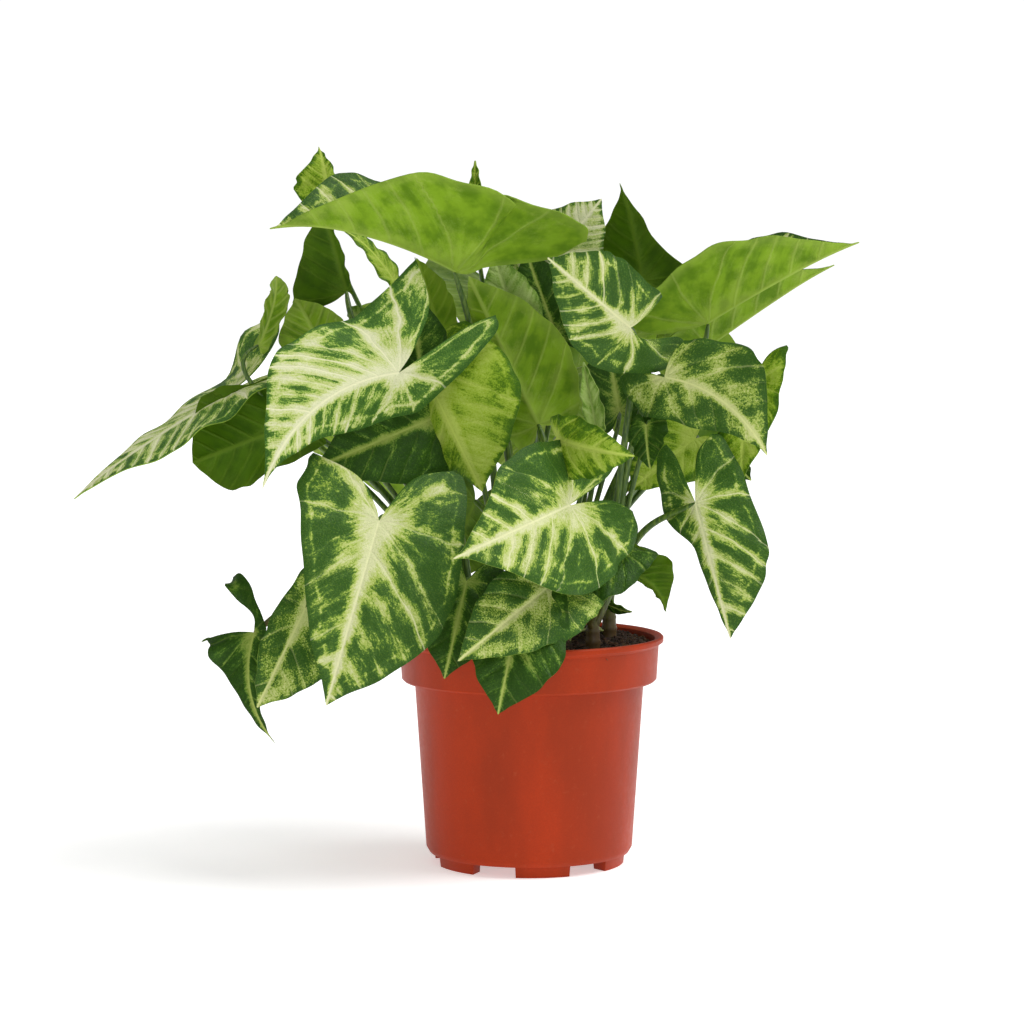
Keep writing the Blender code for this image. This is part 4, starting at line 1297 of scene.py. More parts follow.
@dataclass(frozen=True)
class VeinPlan:
    """Where side veins run on one half of a flat blade.

    Attributes:
        slant: How steeply a side vein climbs towards the tip as it leaves the midrib.
        sweep: How much more it climbs by the margin.
        pitch_share: Distance between side veins, as a share of the midrib.
        fan: Degrees between the veins that fan out into the lobe.
    """

    slant: float = 0.72
    sweep: float = 0.35
    pitch_share: float = 0.185
    fan: float = 42.0

    def fields(
        self, away: np.ndarray, along: np.ndarray, half: Half, length: float,
    ) -> tuple[np.ndarray, np.ndarray]:
        """Numbers the veins over a half.

        Args:
            away: Millimetres from the midrib.
            along: Millimetres along the midrib.
            half: The half's form.
            length: The midrib's length.

        Returns:
            A value that is whole on each vein, and the millimetres to which 1 of it amounts there.
        """
        climb = self.slant + self.sweep * away / half.width
        pitch = self.pitch_share * length
        front = (along - climb * away) / pitch
        front_pitch = pitch / np.sqrt(1.0 + (climb + self.sweep * away / half.width) ** 2)
        angle = np.arctan2(away, along)
        angle = np.where((angle < 0) & (along < 0), angle + 2 * math.pi, angle)
        first = np.arctan2(1.0, climb)
        fan = math.radians(self.fan)
        lobe = -(angle - first) / fan
        lobe_pitch = fan * np.hypot(away, along)
        behind = front < 0
        return np.where(behind, lobe, front), np.where(behind, lobe_pitch, front_pitch)


# The palest leaves have more side veins
VEIN_PLANS = {Look.CREAM: VeinPlan(pitch_share=0.108)}


@dataclass(frozen=True)
class LeafBlade:
    """A blade's skin: two finely meshed faces with quilted veins.

    Attributes:
        leaf: Its form.
        number: Its place in the table, which seeds its markings.
        thickness: Millimetres from face to face.
        quilting: Millimetres that the tissue stands above the veins.
    """

    leaf: Leaf
    number: int
    thickness: float = 0.5
    quilting: float = 0.6

    @property
    def rows(self) -> int:
        """Rows of faces from tip to lobe."""
        return 60 if self.leaf.rows > SMALL_LEAF_ROWS else 40

    @property
    def columns(self) -> int:
        """Columns of faces on each half."""
        return 18 if self.leaf.rows > SMALL_LEAF_ROWS else 12

    def margin_points(self, half: Half, length: float) -> tuple:
        """Returns control points of the outer margin from tip to lobe, as away from and along the midrib."""
        tip = self.leaf.full_tip
        belly = half.belly * length
        front = length - belly
        fuller = half.full * half.width
        return (
            (0.0, length),
            (0.17 * tip * fuller, length - 0.12 * front),
            (0.56 * (0.5 + 0.5 * tip) * fuller, length - 0.36 * front),
            (0.89 * fuller, length - 0.68 * front),
            (half.width, belly),
            (0.80 * half.width + 0.20 * half.out, 0.50 * belly - 0.50 * half.back),
            (0.42 * half.width + 0.58 * half.out, 0.06 * belly - 0.92 * half.back),
            (half.out, -half.back),
        )

    def inner_points(self, half: Half) -> tuple:
        """Returns control points of the lobe's inner edge, from the junction to the lobe's point."""
        return (
            (0.0, 0.0),
            (0.08 * half.out + 0.8, -0.28 * half.back),
            (0.38 * half.out + 0.8 - half.swell, -0.74 * half.back),
            (half.out, -half.back),
        )

    def flat_half(self, half: Half, length: float) -> tuple[np.ndarray, np.ndarray]:
        """Lays out one half flat.

        Args:
            half: The half's form.
            length: The midrib's length.

        Returns:
            Places away from and along the midrib, as rows from tip to lobe, and their distance to the edge.
        """
        share = np.linspace(0.0, 1.0, self.rows + 1)
        outer = curve_through(self.margin_points(half, length), share)
        front = share <= JUNCTION_ROW_SHARE + 1e-9
        inner = curve_through(
            self.inner_points(half), (share - JUNCTION_ROW_SHARE) / (1.0 - JUNCTION_ROW_SHARE),
        )
        inner[front, 0] = 0.0
        inner[front, 1] = length * (1.0 - share[front] / JUNCTION_ROW_SHARE)
        uneven = np.sin(31.0 * share + self.number) + 0.6 * np.sin(53.0 * share + 2.0 * self.number)
        outer[:, 0] += 0.42 * uneven * np.sin(math.pi * share)
        across = np.linspace(0.0, 1.0, self.columns + 1)[None, :, None]
        flat = inner[:, None, :] * (1.0 - across) + outer[:, None, :] * across
        width = np.linalg.norm(outer - inner, axis=1)[:, None]
        rim = (1.0 - across[..., 0]) * width
        near_inner = across[..., 0] * width
        rim = np.where(front[:, None], rim, np.minimum(rim, near_inner * 1.4 + 1.0))
        return flat, rim

    def markings(
        self, flat: np.ndarray, rim: np.ndarray, side: int, half: Half, length: float,
    ) -> dict[str, np.ndarray]:
        """Works out what the skin's materials read at each place.

        Args:
            flat: Places away from and along the midrib.
            rim: Distance to the edge.
            side: 1 for the right half and -1 for the left.
            half: The half's form.
            length: The midrib's length.

        Returns:
            Values by attribute name.
        """
        away, along = flat[..., 0], flat[..., 1]
        plan = VEIN_PLANS.get(self.leaf.look, VeinPlan())
        vein, pitch = plan.fields(away, along, half, length)
        reach = np.clip(away / half.width, 0.0, 1.0)
        band = half.width * (0.045 + 0.11 * (1.0 - reach)) + 0.4
        share = along / length
        from_midrib = np.where(along >= 0, np.abs(away), np.hypot(away, along) + 4.0)
        wedge = half.width * (0.05 + 0.17 * np.clip(1.0 - share, 0.0, 1.0))
        blaze = 1.15 * np.clip(1.0 - from_midrib / wedge, 0.0, 1.0)
        heart = 1.2 * np.clip(1.0 - np.hypot(away, along * 0.8) / (0.5 * half.width), 0.0, 1.0)
        seed = 11.3 * self.number
        return {
            "flat": np.stack([away * side, along, np.full_like(away, seed)], axis=-1),
            "streak": np.stack([vein * 7.0 + side * 30.0, away * 0.2, np.full_like(away, seed)], axis=-1),
            "vein": vein,
            "pitch": pitch,
            "band": band,
            "blaze": np.maximum(blaze, heart),
            "rim": rim,
            "ribs": np.where(along >= 0, np.abs(away), np.hypot(away, along)),
        }

    def relief(self, marks: dict[str, np.ndarray]) -> np.ndarray:
        """Returns how far the tissue stands above the plain form, in millimetres."""
        gap = np.abs(marks["vein"] - np.round(marks["vein"])) * marks["pitch"]
        near = np.minimum(gap / 3.0, marks["ribs"] / 3.5)
        return self.quilting * (1.0 - np.exp(-(near**2))) * smooth(marks["rim"] / 3.0)

    def piece(self, faces: tuple[Any, Any]) -> Any:
        """Makes the blade.

        Args:
            faces: Materials of the upper face and the underside.

        Returns:
            The finished object.
        """
        form = BladeForm(self.leaf)
        bm = bmesh.new()
        layers: dict[str, Any] = {}
        for side, half in ((1, self.leaf.right), (-1, self.leaf.left)):
            flat, rim = self.flat_half(half, form.length)
            marks = self.markings(flat, rim, side, half, form.length)
            places = framed(form.place(flat[..., 0], flat[..., 1], side, half, self.relief(marks)))
            for name, values in marks.items():
                kind = bm.verts.layers.float_vector if values.ndim == 3 else bm.verts.layers.float
                layers.setdefault(name, kind.get(name) or kind.new(name))
            grid = [[bm.verts.new(place) for place in row] for row in places]
            for name, values in marks.items():
                for row, line in zip(grid, values):
                    for vert, value in zip(row, line):
                        vert[layers[name]] = value
            for near, far in zip(grid[:-1], grid[1:]):
                for column in range(self.columns):
                    corners = [near[column], near[column + 1], far[column + 1], far[column]]
                    bm.faces.new(corners if side < 0 else corners[::-1])
        bmesh.ops.remove_doubles(bm, verts=bm.verts, dist=0.000005)
        for face in bm.faces:
            face.smooth = True
        mesh = bpy.data.meshes.new(self.leaf.name)
        bm.to_mesh(mesh)
        bm.free()
        mesh.materials.append(faces[0])
        mesh.materials.append(faces[1])
        blade = bpy.data.objects.new("blade_" + self.leaf.name, mesh)
        bpy.context.scene.collection.objects.link(blade)
        shell = blade.modifiers.new("Thickness", "SOLIDIFY")
        shell.thickness = self.thickness * MM
        shell.offset = -1.0
        shell.material_offset = 1
        shell.material_offset_rim = 1
        return plain_mesh(blade)


def plain_mesh(piece: Any) -> Any:
    """Replaces a piece's mesh by its evaluated one, so that it keeps no modifier."""
    graph = bpy.context.evaluated_depsgraph_get()
    mesh = bpy.data.meshes.new_from_object(piece.evaluated_get(graph))
    piece.modifiers.clear()
    piece.data = mesh
    mesh.set_sharp_from_angle(angle=math.radians(BLADE_SHARP_EDGE))
    return piece


def tube(bm: Any, points: np.ndarray, radii: Sequence[float], sides: int = 12) -> None:
    """Adds a closed tube along points to a mesh.

    Args:
        bm: The mesh that is being built.
        points: Its middle line, in metres.
        radii: Its radius at each point, in metres.
        sides: Faces round it.
    """
    tangents = np.gradient(points, axis=0)
    tangents /= np.linalg.norm(tangents, axis=1)[:, None]
    across = np.cross(tangents[0], (0.31, 0.9, 0.2))
    rings = []
    for point, tangent, radius in zip(points, tangents, radii):
        across = across - tangent * (across @ tangent)
        across /= np.linalg.norm(across)
        third = np.cross(tangent, across)
        ring = []
        for step in range(sides):
            turn = 2 * math.pi * step / sides
            ring.append(bm.verts.new(point + radius * (across * math.cos(turn) + third * math.sin(turn))))
        rings.append(ring)
    for low, high in zip(rings[:-1], rings[1:]):
        for step in range(sides):
            after = (step + 1) % sides
            bm.faces.new((low[step], low[after], high[after], high[step]))
    for ring, point, outward in ((rings[0][::-1], points[0], -1), (rings[-1], points[-1], 1)):
        place = point + tangents[0 if outward < 0 else -1] * outward * 0.0004
        middle = bm.verts.new(place)
        for step in range(sides):
            bm.faces.new((ring[step], ring[(step + 1) % sides], middle))


@dataclass(frozen=True)
class StalkSet:
    """The stem of a plantlet and the petioles that carry its blades.

    Attributes:
        home: The plantlet.
        leaves: Its leaves.
        stem_radius: Millimetres.
        petiole_radius: Millimetres, under a blade.
        base_swell: How much thicker a petiole is where it leaves the stem.
    """

    home: Plantlet
    leaves: tuple[Leaf, ...]
    stem_radius: float = 3.6
    petiole_radius: float = 1.25
    base_swell: float = 1.5

    def petiole(self, leaf: Leaf) -> tuple[np.ndarray, np.ndarray]:
        """Finds a petiole's line.

        Args:
            leaf: The leaf that it carries.

        Returns:
            Points in millimetres from inside the stem to the underside of the blade, and radii.
        """
        form = BladeForm(leaf)
        top = soil_height(self.home.x, self.home.y) + STEM_ABOVE_SOIL
        end = form.start - form.up * BLADE_CAD_THICKNESS
        start = np.array([self.home.x, self.home.y, top - 4.0])
        arrival = -form.up - form.along * leaf.arrive
        arrival = arrival / np.linalg.norm(arrival)
        at = np.linspace(0.0, 1.0, 25)
        if leaf.via:
            points = curve_through([start] + [np.array(seen(*p)) for p in leaf.via] + [end], at)
        else:
            outward = end - start
            reach = np.linalg.norm(outward)
            lead = start + np.array([0.12 * outward[0], 0.12 * outward[1], 0.45 * reach])
            follow = end + arrival * 0.28 * reach
            t = at[:, None]
            u = 1.0 - t
            points = start * u**3 + lead * 3 * u * u * t + follow * 3 * u * t * t + end * t**3
        share = 1.0 if leaf.rows > SMALL_LEAF_ROWS else 0.75
        radii = np.linspace(self.base_swell, 1.0, len(at)) * self.petiole_radius * share
        radii[-3:] *= (1.0, 0.9, 0.6)
        return points, radii

    def stem(self) -> tuple[np.ndarray, np.ndarray]:
        """Returns the stem's line and radii, with a swelling at each joint and a tapered top."""
        surface = soil_height(self.home.x, self.home.y)
        rise = np.array([-STEM_BELOW_SOIL, -3, 0, 2, 3, 4, 7, 8, 9, 11, STEM_ABOVE_SOIL], float)
        swell = np.array([0.94, 0.98, 0.9, 0.92, 1.0, 0.9, 0.84, 0.92, 0.8, 0.7, 0.6])
        points = np.stack(
            [np.full_like(rise, self.home.x), np.full_like(rise, self.home.y), surface + rise], axis=1,
        )
        return points, swell * self.stem_radius

    def piece(self, skin: Any) -> Any:
        """Makes the stalks as one object.

        Args:
            skin: Their material.

        Returns:
            The finished object.
        """
        bm = bmesh.new()
        points, radii = self.stem()
        tube(bm, framed(points), radii * MM, 20)
        for leaf in self.leaves:
            points, radii = self.petiole(leaf)
            tube(bm, framed(points), radii * MM)
        return finished(bm, "stalks_" + self.home.name.removeprefix("plantlet_"), skin)


def finished(bm: Any, name: str, skin: Any) -> Any:
    """Turns a mesh that is being built into a smooth object with one material."""
    bmesh.ops.recalc_face_normals(bm, faces=bm.faces)
    for face in bm.faces:
        face.smooth = True
    mesh = bpy.data.meshes.new(name)
    bm.to_mesh(mesh)
    bm.free()
    mesh.materials.append(skin)
    mesh.set_sharp_from_angle(angle=math.radians(PLAIN_SHARP_EDGE))
    made = bpy.data.objects.new(name, mesh)
    bpy.context.scene.collection.objects.link(made)
    return made


@dataclass(frozen=True)
class NurseryPot:
    """The thin moulded pot: band, lip, drained floor and six feet.

    Attributes:
        steps: Faces round it.
        feet: How many feet.
        gap_arc: Degrees of each gap between feet.
        foot_turn: Degrees to the first gap.
        edge: Width in millimetres to which edges are rounded.
    """

    steps: int = 144
    feet: int = 6
    gap_arc: float = 27.0
    foot_turn: float = 8.0
    edge: float = 0.35

    def profile(self) -> tuple:
        """Returns radius and height along the outer side from lip to foot, then back up the inside."""
        lip = POT_LIP_RADIUS
        band = POT_BAND_RADIUS
        bottom = POT_BODY_BOTTOM_RADIUS
        foot = POT_FOOT_RADIUS
        floor = POT_FOOT_HEIGHT + POT_WALL
        return (
            (lip, POT_HEIGHT - POT_ROUNDING),
            (lip, POT_HEIGHT - 4 * POT_ROUNDING),
            (band + POT_BEAD, POT_HEIGHT - POT_LIP_DROP),
            (band, POT_BAND_BOTTOM + POT_BEAD),
            (band - POT_BEAD, POT_BAND_BOTTOM),
            (POT_BODY_TOP_RADIUS, POT_BAND_BOTTOM - POT_ROUNDING),
            (bottom, POT_FOOT_HEIGHT + 4 * POT_ROUNDING),
            (bottom - POT_WALL, POT_FOOT_HEIGHT),
            (foot, POT_FOOT_HEIGHT),
            (foot - POT_ROUNDING, 0.0),
            (foot - POT_FOOT_WIDTH, 0.0),
            (foot - POT_FOOT_WIDTH - POT_ROUNDING, POT_FOOT_HEIGHT),
            (0.0, POT_FOOT_HEIGHT),
            (0.0, floor),
            (bottom - 2 * POT_WALL, floor),
            (bottom - POT_WALL, floor + 2.6),
            (POT_BODY_TOP_RADIUS - POT_WALL, POT_BAND_BOTTOM),
            (band - POT_WALL, POT_BAND_BOTTOM + 3.0),
            (band - POT_WALL + POT_ROUNDING, POT_HEIGHT - 2 * POT_ROUNDING),
            (lip - POT_ROUNDING - 1.0, POT_HEIGHT),
            (lip - POT_ROUNDING, POT_HEIGHT),
        )

    def cutters(self) -> list[Any]:
        """Makes the solids that cut the gaps between feet and the drain holes."""
        made = []
        wide = 2 * POT_FOOT_RADIUS * math.sin(math.radians(self.gap_arc / 2)) * MM
        middle = (POT_FOOT_RADIUS - POT_FOOT_WIDTH / 2) * MM
        for index in range(self.feet):
            turn = math.radians(self.foot_turn + index * 360.0 / self.feet)
            bpy.ops.mesh.primitive_cube_add(size=1.0)
            gap = bpy.context.object
            gap.scale = (2.5 * POT_FOOT_WIDTH * MM, wide, (2 * POT_FOOT_HEIGHT - 0.2) * MM)
            gap.location = (math.cos(turn) * middle + POT_X * MM, math.sin(turn) * middle + POT_Y * MM, 0.0)
            gap.rotation_euler = (0.0, 0.0, turn)
            made.append(gap)
            turn += math.pi / self.feet
            bpy.ops.mesh.primitive_cylinder_add(vertices=32, radius=DRAIN_RADIUS * MM, depth=20 * MM)
            drain = bpy.context.object
            ring = DRAIN_RING_RADIUS * MM
            drain.location = (
                math.cos(turn) * ring + POT_X * MM, math.sin(turn) * ring + POT_Y * MM,
                POT_FOOT_HEIGHT * MM,
            )
            made.append(drain)
        return made

    def piece(self, skin: Any) -> Any:
        """Makes the pot.

        Args:
            skin: Its material.

        Returns:
            The finished object.
        """
        profile = self.profile()
        bm = bmesh.new()
        rings = []
        for radius, height in profile:
            if radius == 0.0:
                rings.append([bm.verts.new(framed((0.0, 0.0, height)))])
                continue
            ring = []
            for step in range(self.steps):
                turn = 2 * math.pi * step / self.steps
                ring.append(bm.verts.new(framed((radius * math.cos(turn), radius * math.sin(turn), height))))
            rings.append(ring)
        for low, high in zip(rings, rings[1:] + rings[:1]):
            for step in range(self.steps):
                after = (step + 1) % self.steps
                if len(low) == 1 and len(high) == 1:
                    break
                corners = [
                    low[step % len(low)], low[after % len(low)], high[after % len(high)],
                    high[step % len(high)],
                ]
                bm.faces.new(list(dict.fromkeys(corners)))
        pot = finished(bm, "nursery_pot", skin)
        cutters = self.cutters()
        for cutter in cutters:
            cut = pot.modifiers.new("Cut", "BOOLEAN")
            cut.operation = "DIFFERENCE"
            cut.object = cutter
            cut.solver = "EXACT"
        rounding = pot.modifiers.new("Rounded edges", "BEVEL")
        rounding.width = self.edge * MM
        rounding.segments = 2
        rounding.limit_method = "ANGLE"
        rounding.angle_limit = math.radians(38)
        plain_mesh(pot)
        for cutter in cutters:
            bpy.data.objects.remove(cutter)
        return pot


@dataclass(frozen=True)
class PeatSoil:
    """Peat filled up to a lumpy, mounded surface, with loose crumbs and fibres on it.

    Attributes:
        steps: Faces round it.
        rings: Rings of faces over its surface.
        crumb_size: Millimetres across a middling crumb.
        crumbs_per_cm2: How densely crumbs lie.
        fibres_per_cm2: How densely fibres lie.
        fibre_length: Millimetres.
    """

    steps: int = 120
    rings: int = 44
    crumb_size: float = 1.5
    crumbs_per_cm2: float = 21.0
    fibres_per_cm2: float = 2.2
    fibre_length: float = 6.0

    def surface(self, x: float, y: float) -> float:
        """Returns the height of the finely lumpy surface, in millimetres."""
        fine = (
            0.28 * math.sin(0.83 * x + 1.7 * math.sin(0.61 * y))
            + 0.24 * math.sin(1.13 * y + 1.3 * math.sin(0.9 * x))
        )
        out = math.hypot(x, y) / POT_BODY_TOP_RADIUS
        return soil_height(x, y) + fine * min(1.0, 3.0 * max(0.0, 1.05 - out))

    def body(self, skin: Any) -> Any:
        """Makes the body of soil.

        Args:
            skin: Its material.

        Returns:
            The object.
        """
        inside = POT_WALL + SOIL_GAP
        floor = POT_FOOT_HEIGHT + POT_WALL + SOIL_GAP
        top = POT_BAND_RADIUS - inside - SOIL_GAP
        profile: list[tuple[float, float | None]] = [
            (POT_BODY_BOTTOM_RADIUS - inside - POT_WALL - SOIL_GAP, floor),
            (POT_BODY_BOTTOM_RADIUS - inside - SOIL_GAP / 2, floor + 3.0),
            (POT_BODY_TOP_RADIUS - inside - SOIL_GAP / 2, POT_BAND_BOTTOM + SOIL_GAP),
            (top, POT_BAND_BOTTOM + 3.6),
        ]
        profile += [(top * (self.rings - ring) / self.rings, None) for ring in range(self.rings)]
        bm = bmesh.new()
        made = []
        for radius, height in profile:
            row = []
            for step in range(self.steps):
                turn = 2 * math.pi * step / self.steps
                x, y = radius * math.cos(turn), radius * math.sin(turn)
                row.append(bm.verts.new(framed((x, y, self.surface(x, y) if height is None else height))))
            made.append(row)
        for low, high in zip(made[:-1], made[1:]):
            for step in range(self.steps):
                after = (step + 1) % self.steps
                bm.faces.new((low[step], low[after], high[after], high[step]))
        bm.faces.new(made[0][::-1])
        middle = bm.verts.new(framed((0.0, 0.0, self.surface(0.0, 0.0))))
        for step in range(self.steps):
            bm.faces.new((made[-1][step], made[-1][(step + 1) % self.steps], middle))
        return finished(bm, "peat_soil", skin)

    def scattering(self, name: str, per_cm2: float, seed: int, skin: Any, fibre: bool) -> Any:
        """Builds the tree that strews crumbs or fibres over the soil's surface.

        Args:
            name: The tree's name.
            per_cm2: How densely they lie.
            seed: Seed of their places.
            skin: Their material.
            fibre: True for fibres.

        Returns:
            The node group.
        """
        tree = bpy.data.node_groups.new(name, "GeometryNodeTree")
        tree.interface.new_socket("Geometry", in_out="INPUT", socket_type="NodeSocketGeometry")
        sizes = (
            ("Density", per_cm2 * CM2_PER_M2),
            ("Size", self.crumb_size * MM),
            ("Length", self.fibre_length * MM),
        )
        for label, value in sizes:
            made = tree.interface.new_socket(label, in_out="INPUT", socket_type="NodeSocketFloat")
            made.default_value = value
        tree.interface.new_socket("Geometry", in_out="OUTPUT", socket_type="NodeSocketGeometry")
        given = add_node(tree, "NodeGroupInput")
        out = add_node(tree, "NodeGroupOutput")
        normal = add_node(tree, "GeometryNodeInputNormal").outputs[0]
        upward = add_node(tree, "ShaderNodeSeparateXYZ", {0: normal}).outputs["Z"]
        place = add_node(tree, "GeometryNodeInputPosition").outputs[0]
        height = add_node(tree, "ShaderNodeSeparateXYZ", {0: place}).outputs["Z"]
        facing = add_node(tree, MATH, (upward, 0.6), operation="GREATER_THAN")
        topmost = add_node(
            tree, MATH, (facing, add_node(tree, MATH, (height, 0.09), operation="GREATER_THAN")),
            operation="MULTIPLY",
        )
        points = add_node(
            tree, "GeometryNodeDistributePointsOnFaces",
            {
                "Mesh": given.outputs["Geometry"], "Selection": topmost,
                "Density": given.outputs["Density"], "Seed": seed,
            },
        ).outputs["Points"]
        if fibre:
            line = add_node(tree, "GeometryNodeCurvePrimitiveLine", {"End": (0.0, 0.0, 1.0)}).outputs[0]
            line = add_node(tree, "GeometryNodeResampleCurve", {"Curve": line, "Count": 7}).outputs[0]
            grown = given.outputs["Length"]
        else:
            line = add_node(tree, "GeometryNodeMeshIcoSphere", {"Radius": 0.5, "Subdivisions": 2}).outputs[0]
            grown = given.outputs["Size"]
        turn = add_node(
            tree, "FunctionNodeRandomValue",
            {
                "Min": (0.0 if not fibre else 1.25, 0.0, 0.0),
                "Max": (6.28 if not fibre else 1.75, 6.28, 6.28), "Seed": seed + 1,
            },
            data_type="FLOAT_VECTOR",
        ).outputs[0]
        size = add_node(
            tree, "FunctionNodeRandomValue", {2: 0.35, 3: 1.5, "Seed": seed + 2}, data_type="FLOAT",
        ).outputs[1]
        strewn = add_node(
            tree, "GeometryNodeInstanceOnPoints",
            {
                "Points": points, "Instance": line, "Rotation": turn,
                "Scale": add_node(tree, MATH, (size, grown), operation="MULTIPLY"),
            },
        ).outputs[0]
        real = add_node(tree, "GeometryNodeRealizeInstances", {0: strewn}).outputs[0]
        where = add_node(tree, "GeometryNodeInputPosition").outputs[0]
        rough = add_node(
            tree, "ShaderNodeTexNoise",
            {"Vector": where, "Scale": 900.0 if not fibre else 300.0, "Detail": 1.0},
        )
        centred = add_node(
            tree, "ShaderNodeVectorMath", {0: rough.outputs["Color"], 1: (0.5, 0.5, 0.5)},
            operation="SUBTRACT",
        )
        shift = add_node(
            tree, "ShaderNodeVectorMath", {0: centred.outputs[0], "Scale": 0.0017 if not fibre else 0.006},
            operation="SCALE",
        )
        moved = add_node(
            tree, "GeometryNodeSetPosition", {"Geometry": real, "Offset": shift.outputs[0]},
        ).outputs[0]
        if fibre:
            ring = add_node(
                tree, "GeometryNodeCurvePrimitiveCircle", {"Resolution": 5, "Radius": 0.00016},
            ).outputs[0]
            moved = add_node(
                tree, "GeometryNodeCurveToMesh", {"Curve": moved, "Profile Curve": ring, "Fill Caps": True},
            ).outputs[0]
        else:
            moved = add_node(
                tree, "GeometryNodeSetShadeSmooth", {"Geometry": moved, "Shade Smooth": False},
            ).outputs[0]
        dressed = add_node(tree, "GeometryNodeSetMaterial", {"Geometry": moved, "Material": skin}).outputs[0]
        tree.links.new(dressed, out.inputs[0])
        return tree

    def strewn(self, body: Any, name: str, tree: Any) -> Any:
        """Strews loose pieces over the soil.

        Args:
            body: The body of soil.
            name: Name of the new piece.
            tree: The tree that strews them.

        Returns:
            The loose pieces as one object.
        """
        made = bpy.data.objects.new(name, body.data.copy())
        bpy.context.scene.collection.objects.link(made)
        made.modifiers.new("Strewn", "NODES").node_group = tree
        graph = bpy.context.evaluated_depsgraph_get()
        mesh = bpy.data.meshes.new_from_object(made.evaluated_get(graph))
        made.modifiers.clear()
        made.data = mesh
        return made


@dataclass(frozen=True)
class Sprout:
    """A short pale shoot that leans over the soil and ends in a bud.

    Attributes:
        x, y: Where it roots, in millimetres.
        depth: How deep it goes into the soil.
    """

    x: float = 18.0
    y: float = -8.0
    depth: float = 4.0

    def piece(self, skin: Any) -> Any:
        """Makes the sprout in the given material."""
        surface = soil_height(self.x, self.y)
        root = ((0, 0, -self.depth), (0, 0, 1))
        lean = ((3, 1, 3.5), (7, 2, 4.8), (10, 3, 5.0), (12, 4, 4.8), (15, 5, 4.0))
        line = [(self.x + x, self.y + y, surface + z) for x, y, z in root + lean]
        at = np.linspace(0.0, 1.0, 30)
        radii = curve_through([(r,) for r in (0.8, 0.8, 0.7, 0.75, 1.5, 1.7, 0.35)], at)[:, 0]
        bm = bmesh.new()
        tube(bm, framed(curve_through(line, at)), radii * MM, 14)
        return finished(bm, "sprout_shoot", skin)


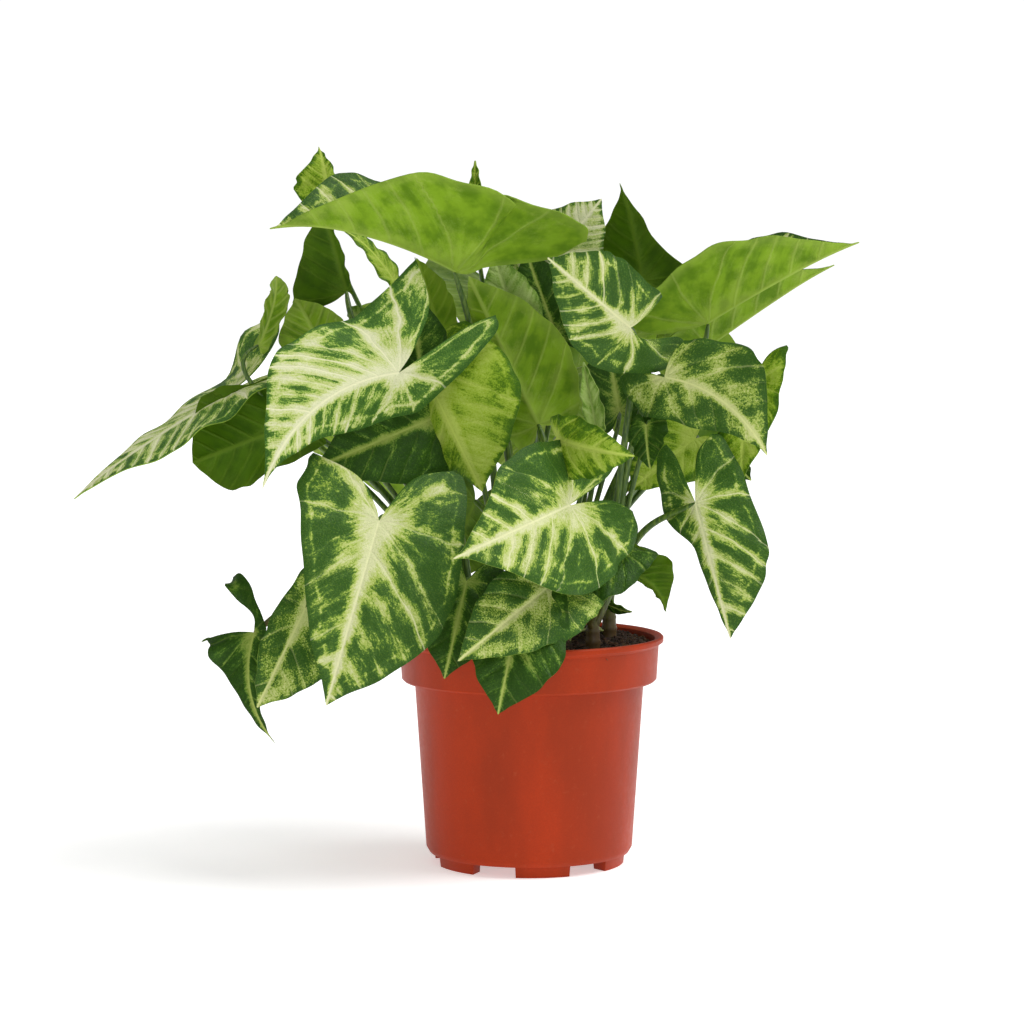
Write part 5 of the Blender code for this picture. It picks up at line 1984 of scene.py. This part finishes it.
@dataclass(frozen=True)
class Studio:
    """A white floor, soft light from the right and the camera at the photograph's angle.

    Attributes:
        lens: Millimetres on a sensor 36 mm wide.
        aim: Height in metres at which the camera looks, on the pot's axis.
        sky: Strength of the light from all sides.
        key: Strength of the main light.
        fill: Watts of the weaker light from the front.
        key_from: Direction that the main light comes from.
        key_spread: Degrees across which the main light is spread.
        backdrop: Strength of the white that the camera sees behind the plant.
        floor_glow: Strength of the floor's own light, which keeps it white.
    """

    lens: float = 110.74
    aim: float = 0.157
    sky: float = 0.37
    key: float = 2.25
    fill: float = 3.0
    key_from: tuple[float, float, float] = (0.62, -0.14, 1.0)
    key_spread: float = 42.0
    backdrop: float = 1.05
    floor_glow: float = 0.46

    def camera(self) -> None:
        """Makes the camera."""
        camera = bpy.data.objects.new("camera", bpy.data.cameras.new("camera"))
        bpy.context.scene.collection.objects.link(camera)
        camera.data.lens = self.lens
        camera.data.sensor_width = 36.0
        camera.data.clip_start = 0.01
        camera.location = Vector(framed(VIEWER))
        target = Vector(framed((VIEWER.x, 0.0, self.aim / MM)))
        camera.rotation_euler = (target - camera.location).to_track_quat("-Z", "Y").to_euler()
        bpy.context.scene.camera = camera

    def lamp(self, name: str, where: tuple[float, float, float], size: float, watts: float) -> None:
        """Makes a square area light that points at the plant.

        Args:
            name: Its name.
            where: Its place in metres.
            size: Its width in metres.
            watts: Its power.
        """
        data = bpy.data.lights.new(name, "AREA")
        data.size = size
        data.energy = watts
        lamp = bpy.data.objects.new(name, data)
        bpy.context.scene.collection.objects.link(lamp)
        lamp.location = where
        lamp.rotation_euler = (Vector((0.02, 0.0, 0.14)) - lamp.location).to_track_quat("-Z", "Y").to_euler()

    def sun(self) -> None:
        """Makes the main light, which reaches the whole floor evenly and has soft shadows."""
        data = bpy.data.lights.new("main_light", "SUN")
        data.energy = self.key
        data.angle = math.radians(self.key_spread)
        sun = bpy.data.objects.new("main_light", data)
        bpy.context.scene.collection.objects.link(sun)
        sun.rotation_euler = Vector(self.key_from).to_track_quat("Z", "Y").to_euler()

    def sky_light(self) -> None:
        """Makes the world: soft light from all sides, seen as plain white."""
        world = bpy.data.worlds.new("white_room")
        bpy.context.scene.world = world
        world.use_nodes = True
        tree = world.node_tree
        tree.nodes.clear()
        out = add_node(tree, "ShaderNodeOutputWorld")
        looked_at = add_node(tree, "ShaderNodeLightPath").outputs["Is Camera Ray"]
        soft = add_node(tree, "ShaderNodeBackground", {"Color": WHITE, "Strength": self.sky})
        white = add_node(tree, "ShaderNodeBackground", {"Color": WHITE, "Strength": self.backdrop})
        mix = add_node(tree, "ShaderNodeMixShader", {0: looked_at, 1: soft.outputs[0], 2: white.outputs[0]})
        tree.links.new(mix.outputs[0], out.inputs[0])

    def floor(self) -> None:
        """Makes the floor."""
        bm = bmesh.new()
        bmesh.ops.create_grid(bm, x_segments=1, y_segments=1, size=8.0)
        mesh = bpy.data.meshes.new("floor")
        bm.to_mesh(mesh)
        bm.free()
        made, tree, out = new_material("floor_white")
        shader = {
            "Base Color": (0.93, 0.93, 0.93, 1.0), "Roughness": 0.9,
            "Emission Color": WHITE, "Emission Strength": self.floor_glow,
        }
        tree.links.new(add_node(tree, "ShaderNodeBsdfPrincipled", shader).outputs[0], out.inputs[0])
        mesh.materials.append(made)
        floor = bpy.data.objects.new("floor", mesh)
        bpy.context.scene.collection.objects.link(floor)

    def build(self) -> None:
        """Makes camera, floor and light."""
        self.camera()
        self.floor()
        self.sky_light()
        self.sun()
        self.lamp("fill_light", (0.3, -1.7, 0.7), 1.2, self.fill)
        bpy.context.scene.view_settings.view_transform = "Standard"


def settle(piece: Any, node: str) -> None:
    """Ties a piece to the frame and reports it.

    Args:
        piece: The piece.
        node: The solid that it stands for.
    """
    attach(piece, "root")
    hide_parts(node)
    LOG.info("%s: %d faces, stands for %s", piece.name, len(piece.data.polygons), node)


def main() -> None:
    """Builds and dresses the plant and its pot."""
    logging.basicConfig(level=logging.INFO, format="%(name)s %(message)s")
    Studio().build()
    settle(NurseryPot().piece(TerracottaPlastic().material()), "pot")
    soil = PeatSoil()
    peat = Peat("peat").material()
    body = soil.body(peat)
    crumbs = soil.scattering("peat_crumbs", soil.crumbs_per_cm2, 7, peat, False)
    fibres = soil.scattering(
        "peat_fibres", soil.fibres_per_cm2, 23, Peat("straw", fibre_share=0.5).material(), True,
    )
    for piece in (soil.strewn(body, "peat_crumbs", crumbs), soil.strewn(body, "peat_fibres", fibres), body):
        settle(piece, "soil")
    stalk_skin = GreenStalk().material()
    young = GreenStalk("young_shoot", green="#a9b860", pale="#cfd68b", brown="#8c7a45", low=0.1, high=0.103)
    settle(Sprout().piece(young.material()), "sprout")
    for home in PLANTLETS:
        leaves = tuple(leaf for leaf in LEAVES if leaf.plantlet == home.name)
        settle(StalkSet(home, leaves).piece(stalk_skin), home.name)
    skins = {look: (finish.upper(), finish.lower()) for look, finish in LEAF_FINISHES.items()}
    for number, leaf in enumerate(LEAVES):
        settle(LeafBlade(leaf, number).piece(skins[leaf.look]), leaf.plantlet)


if __name__ == "__main__":
    main()
